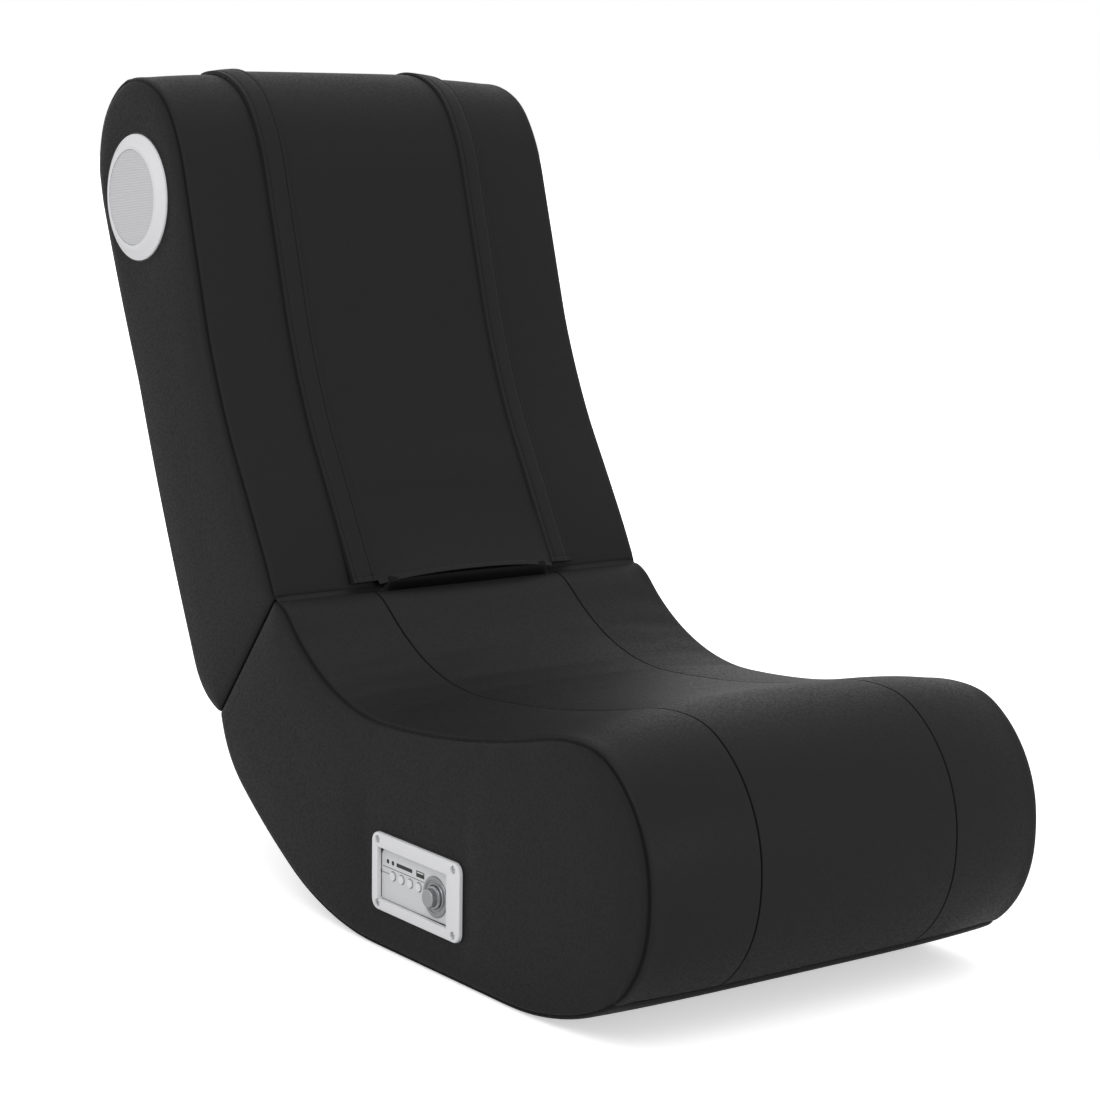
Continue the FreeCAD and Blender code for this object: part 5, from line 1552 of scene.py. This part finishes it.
    def turned(self) -> None:
        """Builds the stepped dial and the ribbed knob."""
        centre = box_middle("volume_dial", self.floor)
        dial = lathe("panel_dial", self.dial, centre, -1.0, 96)
        smooth(dial, 40)
        keep(dial, "seat", "knob_metal", PLATED, "volume_dial")
        knob = lathe("panel_knob", self.knob, centre, -1.0, 4 * self.ribs)
        data = places(knob)
        across = data[:, 1:] - np.array((centre.y, centre.z))
        reach = np.linalg.norm(across, axis=1)
        proud = self.floor - data[:, 0]
        grip = (proud > 3.4 * MM) & (proud < 8.0 * MM) & (reach > 7 * MM)
        angle = np.arctan2(across[:, 1], across[:, 0])
        scale = 1 - self.rib_share * (0.5 - 0.5 * np.cos(self.ribs * angle))
        data[grip, 1:] = np.array((centre.y, centre.z)) + across[grip] * scale[grip, None]
        put(knob, data)
        smooth(knob, 40)
        keep(knob, "volume_knob", "knob_metal", KNOB_METAL, "volume_knob")

    def screws(self) -> None:
        """Builds the four slotted screws as one piece."""
        heads = []
        for centre in self.screw_places():
            head = lathe("panel_screws", self.screw, centre, -1.0, 32)
            cut(head, self.block("cross_cutter", centre + Vector((1.0, -1.6, -0.25)) * MM,
                                 centre + Vector((1.9, 1.6, 0.25)) * MM))
            heads.append(head)
        deselect()
        for head in heads:
            head.select_set(True)
        bpy.context.view_layer.objects.active = heads[0]
        bpy.ops.object.join()
        smooth(heads[0], 35)
        keep(heads[0], "seat", "hinge_steel", ZINC, "faceplate_screws")

    def strip(self, name: str, across: tuple[float, float], tall: tuple[float, float],
              depth: tuple[float, float], corner: float, segments: int) -> Object:
        """Adds a thin rounded block on the recessed floor, all in mm.

        Args:
            name: Object name.
            across: First and last Y.
            tall: First and last Z.
            depth: How far it stands before the floor, and how deep it goes into it.
            corner: Radius of its corners.
            segments: Faces round each corner.

        Returns:
            The block.
        """
        piece = self.block(name, Vector((self.floor - depth[0] * MM, across[0] * MM, tall[0] * MM)),
                           Vector((self.floor + depth[1] * MM, across[1] * MM, tall[1] * MM)))
        self.round_corners(piece, corner * MM, segments)
        return piece

    def sockets(self) -> None:
        """Builds the sockets' openings as thin black pieces of painted shade, and the data socket's light
        tongue.
        """
        for name, y, z, long, tall in (("panel_card_mouth", -104.9, 81.2, 24.3, 3.3),
                                       ("panel_data_mouth", -129.4, 81.2, 12.3, 5.4)):
            piece = self.strip(name, (y - long / 2, y + long / 2), (z - tall / 2, z + tall / 2),
                               (0.05, 0.2), 0.4, 3)
            keep(piece, "seat", "black_plastic", BLACK_ABS)
        tongue = self.strip("panel_data_tongue", (-134.2, -124.6), (82.0, 83.0), (0.12, 0.1), 0.3, 2)
        keep(tongue, "seat", "silver_plastic", SILVER_ABS)
        for number, y in enumerate((-79.3, -87.1)):
            centre = Vector((self.floor, y * MM, 81.2 * MM))
            piece = lathe(f"panel_jack_mouth_{number + 1}", self.jack_mouth, centre, -1.0, 32)
            keep(piece, "seat", "black_plastic", BLACK_ABS)

    def lines(self) -> None:
        """Builds the fine parting lines and the rings round the buttons as dark grey painted shade."""
        for name, start, end, z in (("panel_line_long", -135.2, -71.4, 76.0),
                                    ("panel_line_short", -81.8, -70.6, 70.5)):
            line = self.strip(name, (start, end), (z - 0.3, z + 0.3), (0.05, 0.1), 0.25, 2)
            keep(line, "seat", "silver_plastic", LINE_SHADE_ABS)
        for number in range(4):
            piece = lathe(f"panel_button_ring_{number + 1}", self.button_ring,
                          box_middle(f"button_{number + 1}", self.floor), -1.0, 48)
            keep(piece, "seat", "silver_plastic", LINE_SHADE_ABS)

    def build(self) -> None:
        """Builds and seats the panel's pieces."""
        self.plate()
        self.shadow_rim()
        self.screws()
        self.turned()
        self.sockets()
        self.lines()


# ---- Solids that are carried over ----

CARRIED = {
    PLYWOOD: ("seat_base_board", "seat_deck", "seat_side_panel_left", "seat_side_panel_right",
              "seat_front_rail", "seat_middle_rail", "seat_rear_rail", "back_side_panel_left",
              "back_side_panel_right", "back_top_rail", "back_middle_rail", "back_bottom_rail"),
    FIBRE: ("back_deck", "back_rear_panel"),
    FOAM: ("seat_roll_foam",),
    ZINC: ("hinge_seat_leaves", "hinge_back_leaves", "hinge_pins", "hinge_seat_screws",
           "hinge_back_screws", "faceplate_screws"),
    SILVER_ABS: ("control_faceplate", "speaker_bezel_left", "speaker_bezel_right",
                 "button_1", "button_2", "button_3", "button_4"),
    TRAY_ABS: ("control_tray",),
    GRILLE: ("speaker_grille_left", "speaker_grille_right"),
    ENAMEL: ("speaker_driver_left", "speaker_driver_right", "power_transformer"),
    PAPER: ("speaker_cones",),
    TIN: ("data_socket", "volume_control"),
    BLACK_ABS: ("audio_jacks", "amplifier_case", "push_switches", "card_socket"),
    RESIST: ("amplifier_board",),
    PLATED: ("volume_knob", "volume_dial"),
}


def dress_carried() -> None:
    """Gives every solid that still shows its finish."""
    for finish, names in CARRIED.items():
        for name in names:
            PAINTS.dress(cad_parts[name], finish)


# ---- Studio ----


@dataclass
class Studio:
    """Camera, floor and lamps."""

    camera_place: Vector = Vector((-1.43098, -1.98200, 0.71950))
    camera_right: Vector = Vector((0.80867, -0.58810, 0.01387))
    camera_up: Vector = Vector((0.08333, 0.13785, 0.98694))
    lens: float = 89.38
    sensor: float = 36.0
    floor_size: float = 60.0

    def camera(self) -> None:
        """Places the camera at the photograph's viewpoint."""
        bpy.ops.object.camera_add()
        camera = bpy.context.active_object
        camera.name = "camera"
        forward = self.camera_up.cross(self.camera_right)
        axes = Matrix((self.camera_right, self.camera_up, -forward)).transposed().to_4x4()
        camera.matrix_world = Matrix.Translation(self.camera_place) @ axes
        camera.data.sensor_width = self.sensor
        camera.data.lens = self.lens
        camera.data.clip_end = 200.0
        bpy.context.scene.camera = camera

    def floor(self) -> None:
        """Lays the pale floor, which keeps the chair's shadow."""
        bpy.ops.mesh.primitive_plane_add(size=self.floor_size, location=(0, 0, -0.5 * MM))
        floor = bpy.context.active_object
        floor.name = "floor"
        material = bpy.data.materials.new("matt_white_paper")
        material.use_nodes = True
        tree = material.node_tree
        tree.nodes.clear()
        place = add_node(tree, "ShaderNodeTexCoord").outputs["Object"]
        fibre = add_node(tree, "ShaderNodeTexNoise", {"Vector": place, "Scale": 400.0})
        bump = relief(tree, fibre.outputs["Fac"], 0.05 * MM)
        matt = add_node(tree, "ShaderNodeBsdfDiffuse", {"Color": linear("#fafafa"), "Normal": bump})
        seen = add_node(tree, "ShaderNodeLightPath").outputs["Is Camera Ray"]
        apart = add_node(tree, "ShaderNodeVectorMath", {0: place}, operation="LENGTH")
        away = add_node(tree, "ShaderNodeMapRange", {"Value": apart.outputs["Value"], "From Min": 0.9,
                                                     "From Max": 1.8, "To Min": 0.5, "To Max": 1.0})
        lift = calculate(tree, "MULTIPLY", seen, away.outputs["Result"])
        glow = add_node(tree, "ShaderNodeEmission", {"Color": (1, 1, 1, 1), "Strength": lift})
        both = add_node(tree, "ShaderNodeAddShader", {0: matt.outputs[0], 1: glow.outputs[0]})
        add_node(tree, "ShaderNodeOutputMaterial", {"Surface": both.outputs[0]})
        floor.data.materials.append(material)

    def world(self) -> None:
        """Plain soft surroundings, white where the camera or a reflection sees them."""
        world = bpy.data.worlds.new("studio")
        bpy.context.scene.world = world
        world.use_nodes = True
        tree = world.node_tree
        tree.nodes.clear()
        path = add_node(tree, "ShaderNodeLightPath").outputs
        seen = calculate(tree, "MAXIMUM", path["Is Camera Ray"], path["Is Glossy Ray"])
        seen = calculate(tree, "MAXIMUM", seen, path["Is Transmission Ray"])
        soft = add_node(tree, "ShaderNodeBackground", {"Color": (1, 1, 1, 1), "Strength": 0.8})
        white = add_node(tree, "ShaderNodeBackground", {"Color": (1, 1, 1, 1), "Strength": 1.0})
        mixed = add_node(tree, "ShaderNodeMixShader",
                         {0: seen, 1: soft.outputs[0], 2: white.outputs[0]})
        add_node(tree, "ShaderNodeOutputWorld", {"Surface": mixed.outputs[0]})

    def lamp(self, name: str, place: tuple[float, float, float], size: float, power: float) -> None:
        """Adds a soft square lamp aimed at the chair's middle."""
        bpy.ops.object.light_add(type="AREA", location=place)
        lamp = bpy.context.active_object
        lamp.name = name
        lamp.data.size = size
        lamp.data.energy = power
        aim = Vector((0, 0, 0.35)) - Vector(place)
        lamp.rotation_euler = aim.to_track_quat("-Z", "Y").to_euler()

    def build(self) -> None:
        """Sets up the whole studio."""
        self.camera()
        self.floor()
        self.world()
        self.lamp("key_lamp", (-1.8, -1.6, 2.4), 1.6, 26.0)
        self.lamp("front_lamp", (0.4, -3.0, 0.9), 1.0, 16.0)
        self.lamp("top_lamp", (0.3, 0.2, 3.0), 2.0, 12.0)
        bpy.context.scene.view_settings.view_transform = "Standard"


def main() -> None:
    """Builds the chair's looks and the studio round them."""
    logging.basicConfig(level=logging.INFO, format="%(message)s")
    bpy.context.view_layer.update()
    Studio().build()
    SeatUpholstery().build()
    BackUpholstery().build()
    build_side_pads()
    CentrePanel().build()
    for side in Side:
        ZipTape(side).build()
        Flap(side).build()
    Crease().build()
    for side in Side:
        SpeakerTrim(side).build()
    ControlPanel().build()
    dress_carried()


if __name__ == "__main__":
    main()
